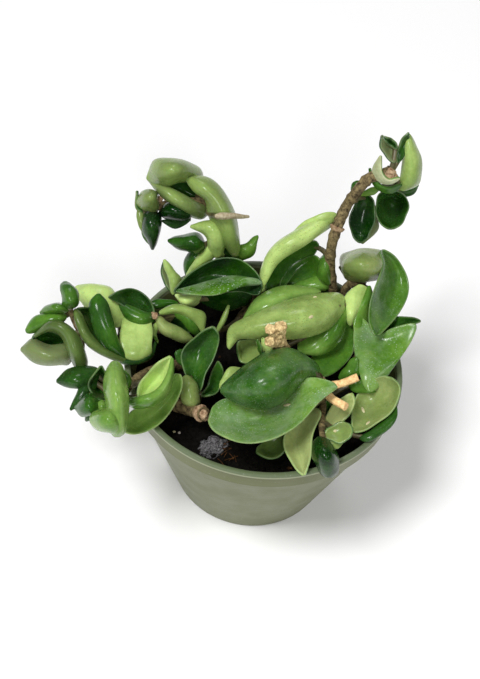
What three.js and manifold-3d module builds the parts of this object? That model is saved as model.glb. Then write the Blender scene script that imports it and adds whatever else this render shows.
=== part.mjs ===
// Rope plant with curled leaves, standing in a round nursery pot.
// Millimetres, +Z up, origin at the middle of the pot's underside.
import * as THREE from "three";
import Module from "manifold-3d";

// Pot
const POT_HEIGHT = 67;
const RIM_RADIUS = 54;
const BASE_RADIUS = 31.3;
const WALL = 1.4;
const FLOOR_THICKNESS = 1.8;
const LIP_DEPTH = 2;
const COLLAR_HEIGHT = 8.5;
const COLLAR_TAPER = 1.4;
const SHOULDER = 1.2;
const POT_SIDES = 44;
const DRAIN_HOLES = 6;
const DRAIN_RADIUS = 3.5;
const DRAIN_SIDES = 12;
const DRAIN_CIRCLE = 21;

// Soil
const SOIL_LEVEL = 56;
const SOIL_FLOOR_GAP = 0.3;
const SOIL_WALL_GAP = 0.3;
const SOIL_RINGS = 5;
const SOIL_SIDES = 28;
const SOIL_ROUGHNESS = 0.9;
const CLUMP_HEIGHT = 4.5;
const CLUMP_RADIUS = 6;

// Foliage
const LEAF_THICKNESS = 1.5;
const PETIOLE_RADIUS = 1;
const ROOT_DEPTH = 12;
const FIT_GAP = 0.35;
const STEM_SIDES = 5;
const STALK_SIDES = 3;
const SPAN_PER_ROW = 7.5;
const SPAN_PER_COLUMN = 7.5;
const SHORTEST_EDGE = 0.08;
const TOUCHING = 0.004;
const DRAWN_IN = 0.03;

// How the photo looks at the pot: the leaves below are read in it by eye.
const LOOK_DOWN_DEGREES = 49.3;
const PICTURE_ROLL_DEGREES = -7.5;
const EYE_DISTANCE = 600;
const PIXELS_PER_MM = 2.56;
const PICTURE_MIDDLE = [240, 339.5];
const AIM = new THREE.Vector3(-10.4, 9.9, POT_HEIGHT);

const COLOURS = {
  pot: { color: 0x84886e, roughness: 0.62 },
  soil: { color: 0x1f1a17, roughness: 0.97 },
  wood: { color: 0xa98a5e, roughness: 0.85 },
  deep: { color: 0x2f6128, roughness: 0.32 },
  mid: { color: 0x4a7a34, roughness: 0.36 },
  pale: { color: 0x7b9c4b, roughness: 0.42 },
};

// Each vine has a stem from the soil up, its girth as a radius at either end, sticks that
// branch from it, and its leaves. A place is a column and a row in the photo's pixels with
// the height in millimetres above the pot's underside. A leaf is its base, then from two to
// four lines across it (left edge, middle, right edge), then its tip.
const VINES = {
  front_vine: {
    look: "mid",
    girth: [2.2, 1.6],
    stem: [[326, 398, 56], [322, 388, 66], [318, 377, 77]],
    sticks: [
      [[320, 383, 71], [330, 397, 80], [346, 407, 82]],
      [[322, 386, 72], [340, 384, 75], [358, 377, 78]],
    ],
    leaves: {
      dome: [[319, 373, 84], [[301, 384, 82], [304, 370, 90], [311, 358, 86]],
        [[284, 405, 79], [284, 376, 97], [293, 346, 88]],
        [[262, 413, 77], [263, 380, 98], [267, 348, 88]],
        [[240, 405, 79], [243, 385, 93], [247, 363, 86]], [219, 390, 84]],
      saucer: [[208, 414, 76], [[220, 436, 78], [226, 418, 74], [231, 396, 77]],
        [[245, 446, 81], [249, 424, 73], [252, 402, 75]],
        [[277, 441, 83], [272, 420, 74], [270, 398, 75]],
        [[304, 424, 85], [294, 407, 79], [284, 392, 80]],
        [[320, 400, 87], [311, 390, 86], [303, 375, 86]], [339, 385, 88]],
      flap: [[242, 384, 72], [[233, 391, 76], [237, 380, 78], [243, 367, 76]],
        [[222, 391, 78], [226, 379, 80], [230, 366, 79]], [221, 383, 79]],
      low: [[290, 431, 67], [[284, 454, 64], [278, 444, 62], [270, 436, 64]],
        [[273, 460, 63], [267, 452, 61], [259, 445, 63]], [257, 454, 63]],
    },
  },
  centre_vine: {
    look: "pale",
    girth: [2.4, 1.8],
    stem: [[346, 350, 56], [350, 328, 70], [349, 306, 84]],
    leaves: {
      boat: [[346, 302, 86], [[329, 292, 84], [325, 312, 93], [329, 331, 82]],
        [[300, 294, 86], [296, 317, 95], [300, 342, 82]],
        [[266, 308, 86], [266, 324, 91], [268, 340, 82]],
        [[241, 320, 84], [240, 329, 87], [243, 338, 81]],
        [[228, 327, 83], [231, 334, 84], [236, 341, 80]], [228, 349, 78]],
      lip: [[348, 302, 85], [[352, 318, 78], [343, 317, 84], [330, 308, 81]],
        [[347, 337, 74], [333, 335, 82], [314, 322, 78]],
        [[328, 356, 72], [318, 348, 77], [301, 334, 77]], [299, 352, 77]],
      under_lip: [[352, 314, 78], [[357, 334, 75], [347, 334, 73], [331, 330, 71]],
        [[354, 354, 71], [342, 352, 69], [321, 344, 70]],
        [[338, 371, 70], [328, 363, 70], [311, 353, 70]], [314, 379, 71]],
      wing: [[322, 293, 80], [[302, 304, 76], [300, 295, 84], [300, 286, 80]],
        [[276, 316, 76], [275, 302, 86], [277, 285, 80]],
        [[258, 323, 76], [257, 309, 83], [257, 297, 79]], [242, 322, 78]],
      tuck: [[267, 345, 78], [[258, 365, 72], [256, 353, 73], [257, 338, 76]],
        [[243, 364, 70], [242, 352, 69], [239, 339, 74]], [237, 352, 71]],
      blade: [[266, 354, 80], [[263, 357, 79], [261, 353, 80], [259, 350, 81]],
        [[262, 349, 83], [259, 346, 83], [256, 344, 84]], [258, 339, 86]],
      chip: [[271, 353, 82], [[267, 354, 80], [270, 350, 84], [272, 347, 84]],
        [[263, 346, 84], [266, 342, 87], [270, 341, 87]], [263, 338, 88]],
      shoot: [[266, 299, 74], [[261, 292, 75], [263, 291, 77], [266, 290, 75]], [262, 281, 80]],
    },
  },
  stub: {
    look: "wood",
    girth: [3.2, 2.1],
    stem: [[288, 372, 56], [286, 358, 72], [282, 346, 84], [279, 338, 92]],
    sticks: [
      [[279, 338, 92], [270, 329, 100]],
      [[280, 338, 92], [281, 325, 101]],
      [[281, 342, 90], [269, 341, 95]],
    ],
    leaves: {},
  },
  back_right_vine: {
    look: "mid",
    girth: [1.9, 2.2],
    stem: [[330, 322, 56], [333, 302, 69], [332, 284, 80], [330, 262, 92], [332, 244, 101],
        [337, 228, 107], [346, 207, 114], [355, 194, 120], [368, 179, 125], [380, 175, 127],
        [390, 172, 129]],
    leaves: {
      sail: [[338, 219, 102], [[318, 217, 103], [318, 228, 106], [322, 240, 99]],
        [[293, 229, 101], [296, 240, 105], [304, 250, 98]],
        [[272, 245, 95], [274, 253, 99], [279, 262, 92]],
        [[261, 266, 88], [264, 272, 91], [267, 278, 86]], [262, 292, 80]],
      sail_back: [[338, 216, 106], [[324, 213, 107], [320, 220, 105], [319, 229, 101]],
        [[308, 220, 103], [303, 227, 101], [302, 234, 98]], [292, 234, 98]],
      sail_inner: [[318, 242, 95], [[309, 261, 86], [302, 253, 88], [296, 245, 95]],
        [[295, 273, 82], [285, 264, 84], [276, 256, 92]],
        [[285, 289, 76], [275, 283, 77], [266, 276, 83]], [268, 294, 76]],
      leaf_a: [[322, 264, 88], [[317, 279, 80], [311, 268, 82], [310, 255, 89]],
        [[302, 284, 77], [297, 276, 78], [294, 263, 85]],
        [[290, 290, 75], [286, 284, 75], [282, 276, 80]], [279, 292, 75]],
      leaf_b: [[328, 284, 82], [[333, 274, 83], [325, 274, 89], [317, 275, 84]],
        [[332, 262, 88], [326, 262, 93], [319, 262, 88]], [325, 255, 91]],
      leaf_c: [[332, 283, 80], [[321, 292, 77], [319, 284, 81], [321, 275, 80]],
        [[305, 291, 75], [304, 286, 79], [304, 279, 78]], [291, 288, 76]],
      crescent: [[400, 178, 129], [[392, 184, 125], [391, 182, 127], [390, 180, 129]],
        [[380, 183, 125], [382, 179, 128], [385, 176, 130]],
        [[371, 172, 127], [376, 170, 130], [382, 169, 132]], [382, 155, 134]],
      shield: [[402, 190, 119], [[423, 182, 119], [412, 182, 124], [400, 178, 122]],
        [[422, 160, 127], [411, 161, 131], [400, 163, 127]],
        [[416, 146, 133], [410, 147, 136], [405, 149, 132]], [409, 133, 139]],
      shield_back: [[396, 189, 115], [[402, 197, 111], [404, 193, 112], [405, 189, 114]],
        [[413, 195, 110], [413, 191, 112], [412, 187, 114]], [418, 186, 114]],
      bud_left: [[396, 161, 131], [[388, 158, 132], [389, 151, 131], [394, 147, 133]],
        [[381, 150, 134], [383, 143, 135], [388, 142, 136]], [382, 136, 138]],
      bud_right: [[398, 162, 131], [[398, 150, 134], [401, 152, 133], [406, 153, 133]],
        [[401, 141, 138], [404, 142, 136], [409, 143, 136]], [409, 133, 141]],
      ring: [[391, 190, 116], [[408, 199, 112], [391, 200, 104], [376, 199, 113]],
        [[410, 209, 109], [392, 210, 101], [374, 209, 110]],
        [[406, 219, 106], [391, 220, 102], [378, 219, 107]], [391, 229, 104]],
      drop: [[366, 194, 114], [[375, 206, 111], [365, 205, 108], [354, 204, 110]],
        [[376, 220, 107], [362, 222, 103], [347, 220, 106]],
        [[370, 233, 102], [361, 234, 99], [352, 233, 101]], [361, 242, 98]],
      scrap: [[379, 187, 118], [[374, 194, 115], [371, 191, 117], [369, 189, 117]], [362, 195, 114]],
      crescent_low: [[402, 184, 122], [[393, 193, 119], [391, 190, 121], [390, 187, 123]],
        [[380, 191, 119], [379, 188, 122], [380, 184, 124]],
        [[371, 180, 124], [372, 178, 125], [374, 176, 126]], [370, 168, 127]],
      bud_inner: [[397, 148, 135], [[391, 146, 135], [392, 143, 134], [393, 140, 137]],
        [[386, 142, 137], [387, 140, 136], [388, 138, 138]], [383, 137, 138]],
      drop_back: [[372, 200, 108], [[376, 213, 103], [373, 213, 104], [370, 213, 104]],
        [[379, 228, 99], [374, 229, 100], [369, 229, 100]], [362, 243, 96]],
      peep: [[362, 184, 116], [[355, 190, 114], [355, 186, 115], [356, 181, 116]], [352, 189, 113]],
    },
  },
  right_vine: {
    look: "mid",
    girth: [2.0, 1.5],
    stem: [[335, 330, 56], [342, 302, 69], [347, 287, 78], [357, 283, 82], [370, 296, 78],
        [376, 322, 72], [377, 338, 71]],
    leaves: {
      knob: [[340, 267, 84], [[349, 282, 79], [345, 266, 93], [345, 253, 86]],
        [[362, 283, 80], [361, 266, 100], [360, 248, 90]],
        [[376, 282, 84], [376, 266, 100], [377, 249, 92]], [386, 262, 93]],
      tongue: [[381, 250, 94], [[400, 261, 88], [392, 263, 86], [383, 262, 95]],
        [[409, 277, 84], [394, 278, 82], [376, 280, 94]],
        [[410, 294, 81], [391, 296, 79], [370, 297, 90]],
        [[400, 313, 79], [385, 316, 78], [368, 315, 86]], [376, 337, 83]],
      saddle: [[378, 334, 78], [[419, 321, 86], [381, 343, 76], [356, 312, 83]],
        [[410, 343, 80], [380, 352, 76], [351, 335, 79]],
        [[399, 361, 76], [375, 365, 77], [355, 360, 76]],
        [[383, 382, 73], [371, 380, 75], [362, 380, 74]], [370, 392, 72]],
      ear: [[353, 322, 75], [[345, 307, 80], [354, 306, 80], [363, 306, 79]],
        [[343, 297, 83], [356, 292, 86], [371, 292, 84]], [361, 285, 88]],
      collar: [[366, 347, 74], [[372, 328, 73], [362, 326, 79], [352, 326, 80]],
        [[373, 308, 78], [364, 308, 83], [355, 312, 82]],
        [[373, 297, 82], [368, 297, 86], [361, 299, 83]], [369, 286, 87]],
      shadow: [[379, 336, 75], [[396, 332, 77], [394, 325, 75], [392, 317, 77]],
        [[408, 327, 80], [407, 322, 78], [406, 317, 80]], [420, 321, 84]],
      under_saddle: [[349, 384, 73], [[356, 393, 70], [357, 386, 73], [357, 379, 75]],
        [[368, 394, 70], [368, 388, 71], [366, 380, 73]], [377, 392, 70]],
      spur: [[340, 378, 71], [[350, 380, 71], [348, 373, 75], [346, 366, 74]],
        [[359, 377, 72], [355, 369, 76], [350, 360, 76]], [357, 358, 78]],
    },
  },
  front_right_vine: {
    look: "pale",
    girth: [1.5, 1.1],
    stem: [[330, 392, 57], [324, 402, 66], [322, 416, 72], [322, 430, 75], [323, 439, 76]],
    leaves: {
      shell: [[390, 377, 78], [[371, 384, 73], [388, 391, 72], [402, 392, 78]],
        [[356, 392, 70], [374, 404, 66], [394, 411, 75]],
        [[352, 410, 70], [363, 417, 66], [379, 424, 72]], [353, 433, 70]],
      rim_leaf: [[360, 438, 68], [[370, 441, 68], [371, 435, 70], [371, 430, 68]],
        [[386, 432, 69], [384, 427, 71], [382, 422, 68]],
        [[396, 420, 71], [394, 416, 72], [391, 411, 70]], [396, 406, 73]],
      fan: [[324, 431, 70], [[338, 425, 70], [334, 419, 69], [328, 411, 71]],
        [[350, 416, 72], [343, 410, 71], [335, 401, 73]],
        [[355, 404, 75], [350, 401, 74], [344, 396, 75]], [352, 393, 76]],
      chip_top: [[324, 435, 75], [[330, 441, 75], [331, 434, 74], [332, 426, 77]],
        [[340, 444, 76], [341, 432, 75], [340, 420, 79]],
        [[348, 440, 77], [348, 431, 77], [347, 422, 79]], [353, 430, 79]],
      chip_low: [[325, 437, 73], [[329, 447, 71], [331, 443, 73], [333, 440, 73]],
        [[338, 450, 71], [338, 445, 72], [339, 441, 73]], [344, 442, 72]],
      bean: [[320, 437, 76], [[331, 445, 74], [322, 446, 80], [311, 448, 75]],
        [[339, 457, 71], [327, 457, 81], [312, 459, 72]],
        [[339, 468, 68], [328, 468, 75], [318, 468, 69]], [328, 478, 67]],
      trough: [[313, 407, 72], [[290, 424, 71], [304, 421, 69], [320, 420, 76]],
        [[281, 442, 71], [297, 441, 66], [312, 440, 74]],
        [[289, 463, 69], [301, 459, 66], [312, 457, 73]], [305, 474, 68]],
      fan_back: [[323, 430, 67], [[336, 418, 67], [328, 416, 65], [320, 414, 67]], [328, 400, 69]],
    },
  },
  inner_vine: {
    look: "deep",
    girth: [1.6, 1.3],
    stem: [[198, 398, 57], [196, 392, 66], [190, 382, 72]],
    leaves: {
      paddle: [[198, 392, 70], [[186, 376, 73], [195, 374, 71], [205, 376, 75]],
        [[179, 360, 77], [197, 357, 73], [215, 360, 79]],
        [[184, 346, 81], [202, 343, 77], [220, 344, 83]],
        [[197, 334, 85], [209, 333, 83], [219, 336, 86]], [213, 327, 88]],
      paddle_low: [[203, 396, 66], [[206, 388, 66], [211, 389, 64], [220, 391, 68]],
        [[212, 372, 71], [216, 375, 69], [224, 373, 73]], [218, 362, 76]],
      tab: [[186, 376, 75], [[198, 387, 73], [189, 387, 76], [180, 389, 73]],
        [[201, 400, 70], [191, 401, 73], [181, 400, 70]], [194, 408, 68]],
      chip: [[188, 366, 72], [[184, 356, 74], [180, 358, 75], [176, 361, 73]],
        [[184, 350, 76], [179, 352, 77], [174, 356, 76]], [176, 352, 77]],
    },
  },
  left_root_vine: {
    look: "mid",
    girth: [1.6, 1.4],
    stem: [[200, 350, 56], [188, 340, 62], [176, 332, 66], [162, 321, 74]],
    leaves: {
      crest: [[159, 313, 80], [[176, 313, 79], [175, 308, 83], [174, 305, 81]],
        [[190, 320, 76], [190, 313, 80], [190, 308, 79]],
        [[200, 329, 73], [203, 320, 76], [205, 312, 76]], [203, 333, 72]],
      scoop: [[157, 317, 80], [[162, 333, 73], [165, 328, 77], [168, 322, 75]],
        [[177, 341, 69], [179, 334, 74], [182, 328, 72]], [194, 341, 69]],
      sliver: [[178, 303, 76], [[168, 306, 74], [167, 303, 76], [167, 300, 76]],
        [[158, 309, 74], [157, 305, 76], [158, 300, 76]], [150, 304, 76]],
      leaf_d: [[160, 322, 78], [[156, 335, 72], [154, 331, 74], [153, 327, 75]], [158, 343, 70]],
      tendril: [[196, 345, 66], [[197, 340, 66], [200, 341, 68], [203, 343, 66]], [206, 350, 64]],
      hollow: [[160, 319, 76], [[168, 326, 72], [171, 319, 68], [174, 313, 72]],
        [[182, 332, 68], [186, 324, 66], [190, 317, 70]], [198, 331, 68]],
      fold: [[175, 313, 80], [[181, 321, 75], [184, 318, 78], [187, 316, 77]],
        [[191, 333, 71], [194, 328, 74], [198, 325, 73]], [200, 335, 70]],
    },
  },
  left_vine: {
    look: "pale",
    girth: [2.0, 1.2],
    stem: [[190, 342, 56], [176, 336, 64], [160, 329, 68], [140, 333, 68], [118, 340, 68],
        [97, 342, 70], [84, 335, 76], [76, 323, 82], [69, 308, 89]],
    leaves: {
      tip_a: [[69, 309, 91], [[79, 303, 91], [71, 302, 97], [62, 303, 92]],
        [[78, 293, 93], [70, 293, 98], [61, 293, 94]],
        [[72, 286, 95], [67, 287, 97], [60, 288, 95]], [65, 282, 95]],
      tip_b: [[69, 309, 90], [[59, 314, 87], [58, 308, 93], [58, 303, 88]],
        [[49, 313, 86], [49, 308, 90], [49, 304, 87]], [41, 313, 84]],
      hook_top: [[66, 316, 86], [[54, 313, 86], [55, 319, 88], [57, 326, 84]],
        [[38, 315, 84], [40, 322, 86], [43, 330, 81]], [26, 332, 80]],
      arch: [[80, 371, 74], [[89, 361, 76], [81, 360, 83], [72, 361, 78]],
        [[83, 346, 81], [74, 347, 88], [65, 349, 82]],
        [[76, 332, 86], [70, 336, 90], [63, 340, 84]],
        [[64, 321, 89], [60, 326, 92], [57, 332, 86]],
        [[48, 320, 88], [47, 325, 90], [46, 331, 85]], [34, 338, 80]],
      jaw: [[72, 358, 72], [[66, 342, 76], [65, 354, 79], [64, 365, 71]],
        [[48, 346, 76], [47, 356, 80], [47, 366, 71]],
        [[33, 338, 77], [32, 350, 79], [32, 361, 72]], [21, 349, 75]],
      taco: [[129, 360, 72], [[114, 361, 73], [114, 357, 76], [114, 354, 75]],
        [[98, 353, 77], [99, 349, 80], [101, 345, 79]],
        [[84, 341, 82], [86, 337, 85], [90, 332, 83]],
        [[76, 323, 87], [79, 320, 89], [83, 316, 87]], [75, 309, 90]],
      blade: [[127, 358, 73], [[105, 350, 75], [112, 346, 80], [118, 342, 79]],
        [[93, 330, 82], [103, 325, 87], [114, 321, 85]],
        [[88, 308, 88], [98, 307, 91], [109, 304, 89]], [98, 293, 93]],
      hood: [[122, 326, 74], [[128, 312, 77], [112, 316, 80], [95, 324, 76]],
        [[121, 296, 81], [103, 304, 85], [86, 314, 79]],
        [[114, 284, 83], [97, 289, 87], [78, 300, 80]], [76, 286, 80]],
      cap: [[154, 315, 80], [[143, 314, 81], [144, 305, 76], [147, 296, 81]],
        [[128, 309, 83], [130, 300, 78], [132, 287, 84]],
        [[117, 303, 84], [119, 297, 82], [121, 290, 85]], [108, 297, 86]],
      cap_under: [[155, 317, 78], [[147, 311, 80], [145, 318, 82], [145, 326, 77]],
        [[131, 306, 81], [131, 315, 82], [130, 323, 77]], [119, 304, 82]],
      cheek: [[137, 314, 76], [[121, 321, 78], [137, 321, 82], [152, 321, 78]],
        [[118, 337, 77], [136, 338, 83], [155, 336, 76]],
        [[122, 353, 74], [138, 354, 78], [152, 349, 74]], [140, 360, 71]],
      hook_hollow: [[66, 345, 77], [[60, 334, 80], [59, 340, 75], [59, 347, 77]],
        [[48, 330, 81], [47, 338, 74], [46, 349, 77]],
        [[38, 331, 81], [38, 338, 76], [38, 345, 77]], [31, 342, 78]],
      taco_inside: [[130, 358, 70], [[113, 357, 74], [117, 350, 70], [124, 343, 70]],
        [[97, 346, 79], [103, 338, 73], [110, 330, 74]],
        [[86, 328, 84], [93, 321, 77], [101, 313, 80]],
        [[80, 315, 87], [85, 312, 82], [92, 308, 85]], [77, 309, 90]],
      cheek_rim: [[111, 350, 74], [[121, 364, 70], [121, 360, 73], [120, 356, 71]],
        [[138, 364, 69], [138, 361, 72], [137, 358, 71]],
        [[152, 357, 70], [150, 355, 73], [148, 352, 72]], [156, 342, 73]],
    },
  },
  left_low_vine: {
    look: "deep",
    girth: [2.2, 1.4],
    stem: [[180, 366, 56], [165, 366, 62], [148, 372, 67], [133, 382, 71], [122, 395, 75],
        [108, 404, 77]],
    leaves: {
      banana: [[119, 433, 80], [[129, 417, 84], [120, 414, 93], [108, 411, 86]],
        [[129, 397, 88], [117, 393, 100], [103, 389, 89]],
        [[124, 374, 91], [115, 373, 98], [106, 374, 91]], [115, 360, 93]],
      heel: [[124, 425, 82], [[113, 408, 86], [114, 421, 93], [116, 436, 80]],
        [[100, 409, 84], [101, 420, 92], [102, 432, 80]], [90, 420, 82]],
      spoon: [[140, 398, 84], [[154, 394, 85], [148, 388, 79], [140, 383, 86]],
        [[167, 378, 87], [159, 374, 84], [150, 369, 90]], [171, 356, 93]],
      spoon_rim: [[125, 401, 80], [[141, 396, 85], [141, 402, 88], [140, 409, 80]],
        [[157, 390, 86], [159, 396, 89], [161, 402, 80]],
        [[167, 377, 89], [170, 379, 91], [172, 384, 85]], [172, 357, 93]],
      gutter: [[178, 373, 86], [[183, 389, 80], [174, 388, 77], [166, 386, 85]],
        [[174, 408, 74], [165, 402, 70], [156, 396, 80]],
        [[158, 427, 71], [150, 416, 67], [143, 406, 78]],
        [[139, 435, 72], [136, 424, 69], [131, 409, 78]], [123, 431, 75]],
      bit: [[122, 392, 79], [[130, 386, 80], [127, 385, 84], [122, 384, 80]],
        [[130, 377, 82], [127, 376, 85], [122, 376, 82]], [124, 370, 84]],
      cup: [[105, 399, 78], [[92, 395, 80], [99, 390, 73], [111, 389, 78]],
        [[88, 383, 83], [97, 380, 75], [108, 379, 80]], [101, 366, 85]],
      fin_a: [[100, 374, 79], [[85, 390, 76], [84, 378, 81], [86, 365, 77]],
        [[72, 388, 76], [71, 378, 81], [71, 366, 77]], [57, 382, 76]],
      fin_b: [[97, 381, 78], [[91, 396, 75], [87, 388, 79], [83, 383, 76]],
        [[82, 404, 74], [79, 398, 77], [77, 396, 75]], [71, 410, 73]],
      pearl: [[101, 403, 79], [[97, 415, 76], [91, 405, 85], [89, 393, 79]],
        [[84, 417, 74], [83, 407, 82], [82, 397, 76]], [76, 408, 75]],
      pearl_low: [[96, 412, 76], [[92, 418, 73], [90, 416, 75], [88, 413, 74]], [86, 421, 71]],
      link: [[110, 409, 80], [[103, 412, 79], [102, 406, 82], [103, 400, 80]], [96, 406, 79]],
    },
  },
  back_left_vine: {
    look: "mid",
    girth: [2.2, 1.3],
    stem: [[234, 306, 56], [232, 284, 69], [230, 262, 80], [228, 240, 89], [223, 222, 96],
        [214, 207, 101], [201, 201, 103], [185, 202, 103], [170, 203, 102], [158, 207, 101],
        [150, 212, 100]],
    leaves: {
      crown: [[201, 178, 108], [[197, 166, 113], [192, 173, 118], [189, 181, 109]],
        [[178, 158, 118], [175, 170, 126], [174, 184, 111]],
        [[161, 158, 118], [160, 172, 121], [164, 188, 109]],
        [[153, 163, 115], [152, 176, 113], [157, 190, 107]], [148, 178, 110]],
      crown_low: [[209, 212, 98], [[203, 205, 102], [201, 213, 101], [199, 220, 96]],
        [[192, 199, 107], [189, 208, 107], [185, 214, 100]],
        [[179, 192, 110], [175, 200, 111], [171, 204, 104]],
        [[167, 185, 111], [163, 190, 112], [159, 194, 107]], [150, 181, 109]],
      crown_inner: [[208, 201, 102], [[196, 206, 103], [194, 196, 102], [200, 184, 109]],
        [[180, 198, 105], [180, 188, 104], [186, 176, 111]], [164, 184, 108]],
      mantle: [[236, 258, 87], [[240, 240, 95], [231, 240, 101], [221, 240, 96]],
        [[237, 216, 103], [224, 217, 111], [209, 220, 102]],
        [[228, 196, 109], [216, 198, 116], [206, 201, 108]],
        [[210, 178, 114], [203, 185, 119], [199, 196, 112]], [185, 177, 116]],
      beak: [[217, 258, 88], [[226, 240, 95], [217, 241, 100], [208, 243, 94]],
        [[224, 223, 101], [213, 228, 105], [206, 236, 98]],
        [[208, 221, 103], [203, 225, 104], [199, 231, 100]], [190, 226, 100]],
      leaf_e: [[205, 246, 92], [[195, 254, 87], [195, 243, 97], [196, 232, 93]],
        [[182, 250, 89], [180, 242, 95], [180, 235, 92]], [168, 241, 93]],
      leaf_f: [[203, 247, 87], [[205, 260, 81], [196, 258, 86], [187, 254, 83]],
        [[199, 270, 77], [191, 268, 81], [184, 264, 79]], [187, 277, 76]],
      quill_a: [[187, 277, 77], [[200, 270, 80], [197, 265, 85], [193, 261, 82]],
        [[214, 258, 86], [210, 251, 91], [205, 247, 89]], [218, 240, 95]],
      quill_b: [[216, 262, 80], [[224, 258, 82], [222, 254, 86], [219, 253, 84]], [227, 246, 89]],
      leaf_g: [[232, 264, 81], [[221, 250, 87], [229, 248, 90], [237, 250, 86]],
        [[221, 238, 92], [227, 238, 94], [234, 240, 91]], [224, 229, 95]],
      leaf_h: [[234, 254, 86], [[243, 260, 83], [243, 252, 90], [241, 245, 90]],
        [[253, 256, 86], [252, 248, 91], [250, 240, 92]], [258, 236, 95]],
      knob: [[158, 206, 104], [[156, 191, 108], [152, 200, 112], [150, 213, 100]],
        [[145, 190, 108], [144, 201, 110], [145, 210, 101]], [138, 200, 105]],
      knob_back: [[142, 213, 100], [[137, 206, 103], [138, 206, 102], [141, 205, 102]],
        [137, 191, 108]],
      strap: [[140, 208, 101], [[144, 221, 97], [141, 221, 98], [137, 218, 98]],
        [[149, 236, 92], [145, 235, 93], [142, 233, 94]], [151, 247, 89]],
      dart: [[153, 212, 101], [[161, 222, 98], [152, 221, 103], [143, 219, 99]],
        [[160, 236, 93], [152, 235, 98], [145, 234, 94]], [152, 248, 89]],
      glossy: [[190, 214, 103], [[181, 222, 97], [178, 212, 106], [178, 205, 104]],
        [[166, 220, 97], [167, 211, 105], [168, 203, 103]], [160, 212, 100]],
      glossy_low: [[190, 220, 99], [[176, 229, 94], [177, 224, 96], [178, 219, 97]], [161, 221, 96]],
      fang: [[174, 294, 74], [[170, 284, 77], [176, 283, 79], [182, 279, 76]],
        [[166, 271, 80], [170, 272, 82], [175, 271, 80]], [165, 260, 85]],
      bract: [[216, 217, 114], [[223, 214, 113], [224, 216, 114], [223, 219, 112]],
        [[234, 215, 111], [235, 216, 112], [235, 218, 110]], [249, 217, 108]],
      fang_side: [[173, 293, 73], [[165, 283, 77], [167, 282, 76], [170, 281, 76]],
        [[162, 271, 80], [164, 271, 79], [166, 271, 79]], [165, 261, 84]],
    },
  },
  bowl_vine: {
    look: "deep",
    girth: [2.0, 1.6],
    stem: [[238, 322, 56], [250, 306, 66], [257, 292, 76]],
    leaves: {
      bowl: [[262, 292, 83], [[243, 292, 79], [249, 279, 81], [254, 268, 89]],
        [[218, 295, 80], [226, 274, 79], [240, 257, 92]],
        [[196, 294, 82], [202, 276, 78], [214, 258, 91]],
        [[181, 293, 83], [185, 283, 81], [192, 271, 87]], [174, 291, 84]],
      keel: [[258, 292, 74], [[240, 288, 79], [242, 297, 76], [244, 308, 66]],
        [[215, 290, 78], [218, 300, 74], [222, 311, 65]], [200, 300, 70]],
      lime: [[200, 299, 74], [[197, 294, 77], [191, 300, 79], [191, 308, 72]],
        [[181, 294, 77], [183, 301, 79], [186, 308, 72]], [176, 295, 76]],
      front: [[262, 283, 86], [[248, 277, 86], [245, 281, 87], [242, 286, 84]],
        [[230, 275, 84], [226, 284, 85], [221, 295, 85]],
        [[205, 282, 80], [202, 289, 82], [199, 296, 84]], [175, 291, 85]],
      shoot: [[217, 332, 64], [[221, 320, 66], [223, 320, 68], [225, 321, 66]], [229, 305, 72]],
    },
  },
  root_stub: {
    look: "wood",
    girth: [3.0, 2.2],
    stem: [[186, 412, 52], [176, 398, 58], [168, 400, 62], [184, 408, 66], [204, 414, 72]],
    leaves: {},
  },
};

const wasm = await Module();
wasm.setup();

const eyeTilt = THREE.MathUtils.degToRad(LOOK_DOWN_DEGREES);
const pictureRoll = THREE.MathUtils.degToRad(PICTURE_ROLL_DEGREES);
const towardEye = new THREE.Vector3(0, -Math.cos(eyeTilt), Math.sin(eyeTilt));
const pictureUp = new THREE.Vector3(0, Math.sin(eyeTilt), Math.cos(eyeTilt));
const eye = AIM.clone().addScaledVector(towardEye, EYE_DISTANCE);

// The point at a given height on the sight line through one place in the photo.
function placeFromPhoto([column, row, height]) {
  const across = column - PICTURE_MIDDLE[0];
  const down = row - PICTURE_MIDDLE[1];
  const right = (across * Math.cos(pictureRoll) - down * Math.sin(pictureRoll)) / PIXELS_PER_MM;
  const up = (-across * Math.sin(pictureRoll) - down * Math.cos(pictureRoll)) / PIXELS_PER_MM;
  const sight = AIM.clone().addScaledVector(pictureUp, up).sub(eye);
  sight.x += right;
  const reach = (height - eye.z) / sight.z;
  return eye.clone().addScaledVector(sight, reach);
}

// A smooth curve through the points, at a position counted in points.
function along(points, position) {
  const i = Math.min(Math.max(Math.floor(position), 0), points.length - 2);
  const t = position - i;
  const here = points[i];
  const next = points[i + 1];
  const before = points[i - 1] ?? here.clone().multiplyScalar(2).sub(next);
  const after = points[i + 2] ?? next.clone().multiplyScalar(2).sub(here);
  const result = here.clone().multiplyScalar(2 - 5 * t * t + 3 * t * t * t);
  result.addScaledVector(before, -t + 2 * t * t - t * t * t);
  result.addScaledVector(next, t + 4 * t * t - 3 * t * t * t);
  result.addScaledVector(after, -t * t + t * t * t);
  return result.multiplyScalar(0.5);
}

// How much of its full width a leaf has: round at its base, pointed at its tip.
function widthShare(position, lines) {
  if (position < 1) {
    return Math.sqrt(Math.max(0, 1 - (1 - position) ** 2));
  }
  if (position > lines) {
    return 1 - (1 - (lines + 1 - position)) ** 1.8;
  }
  return 1;
}

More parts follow.
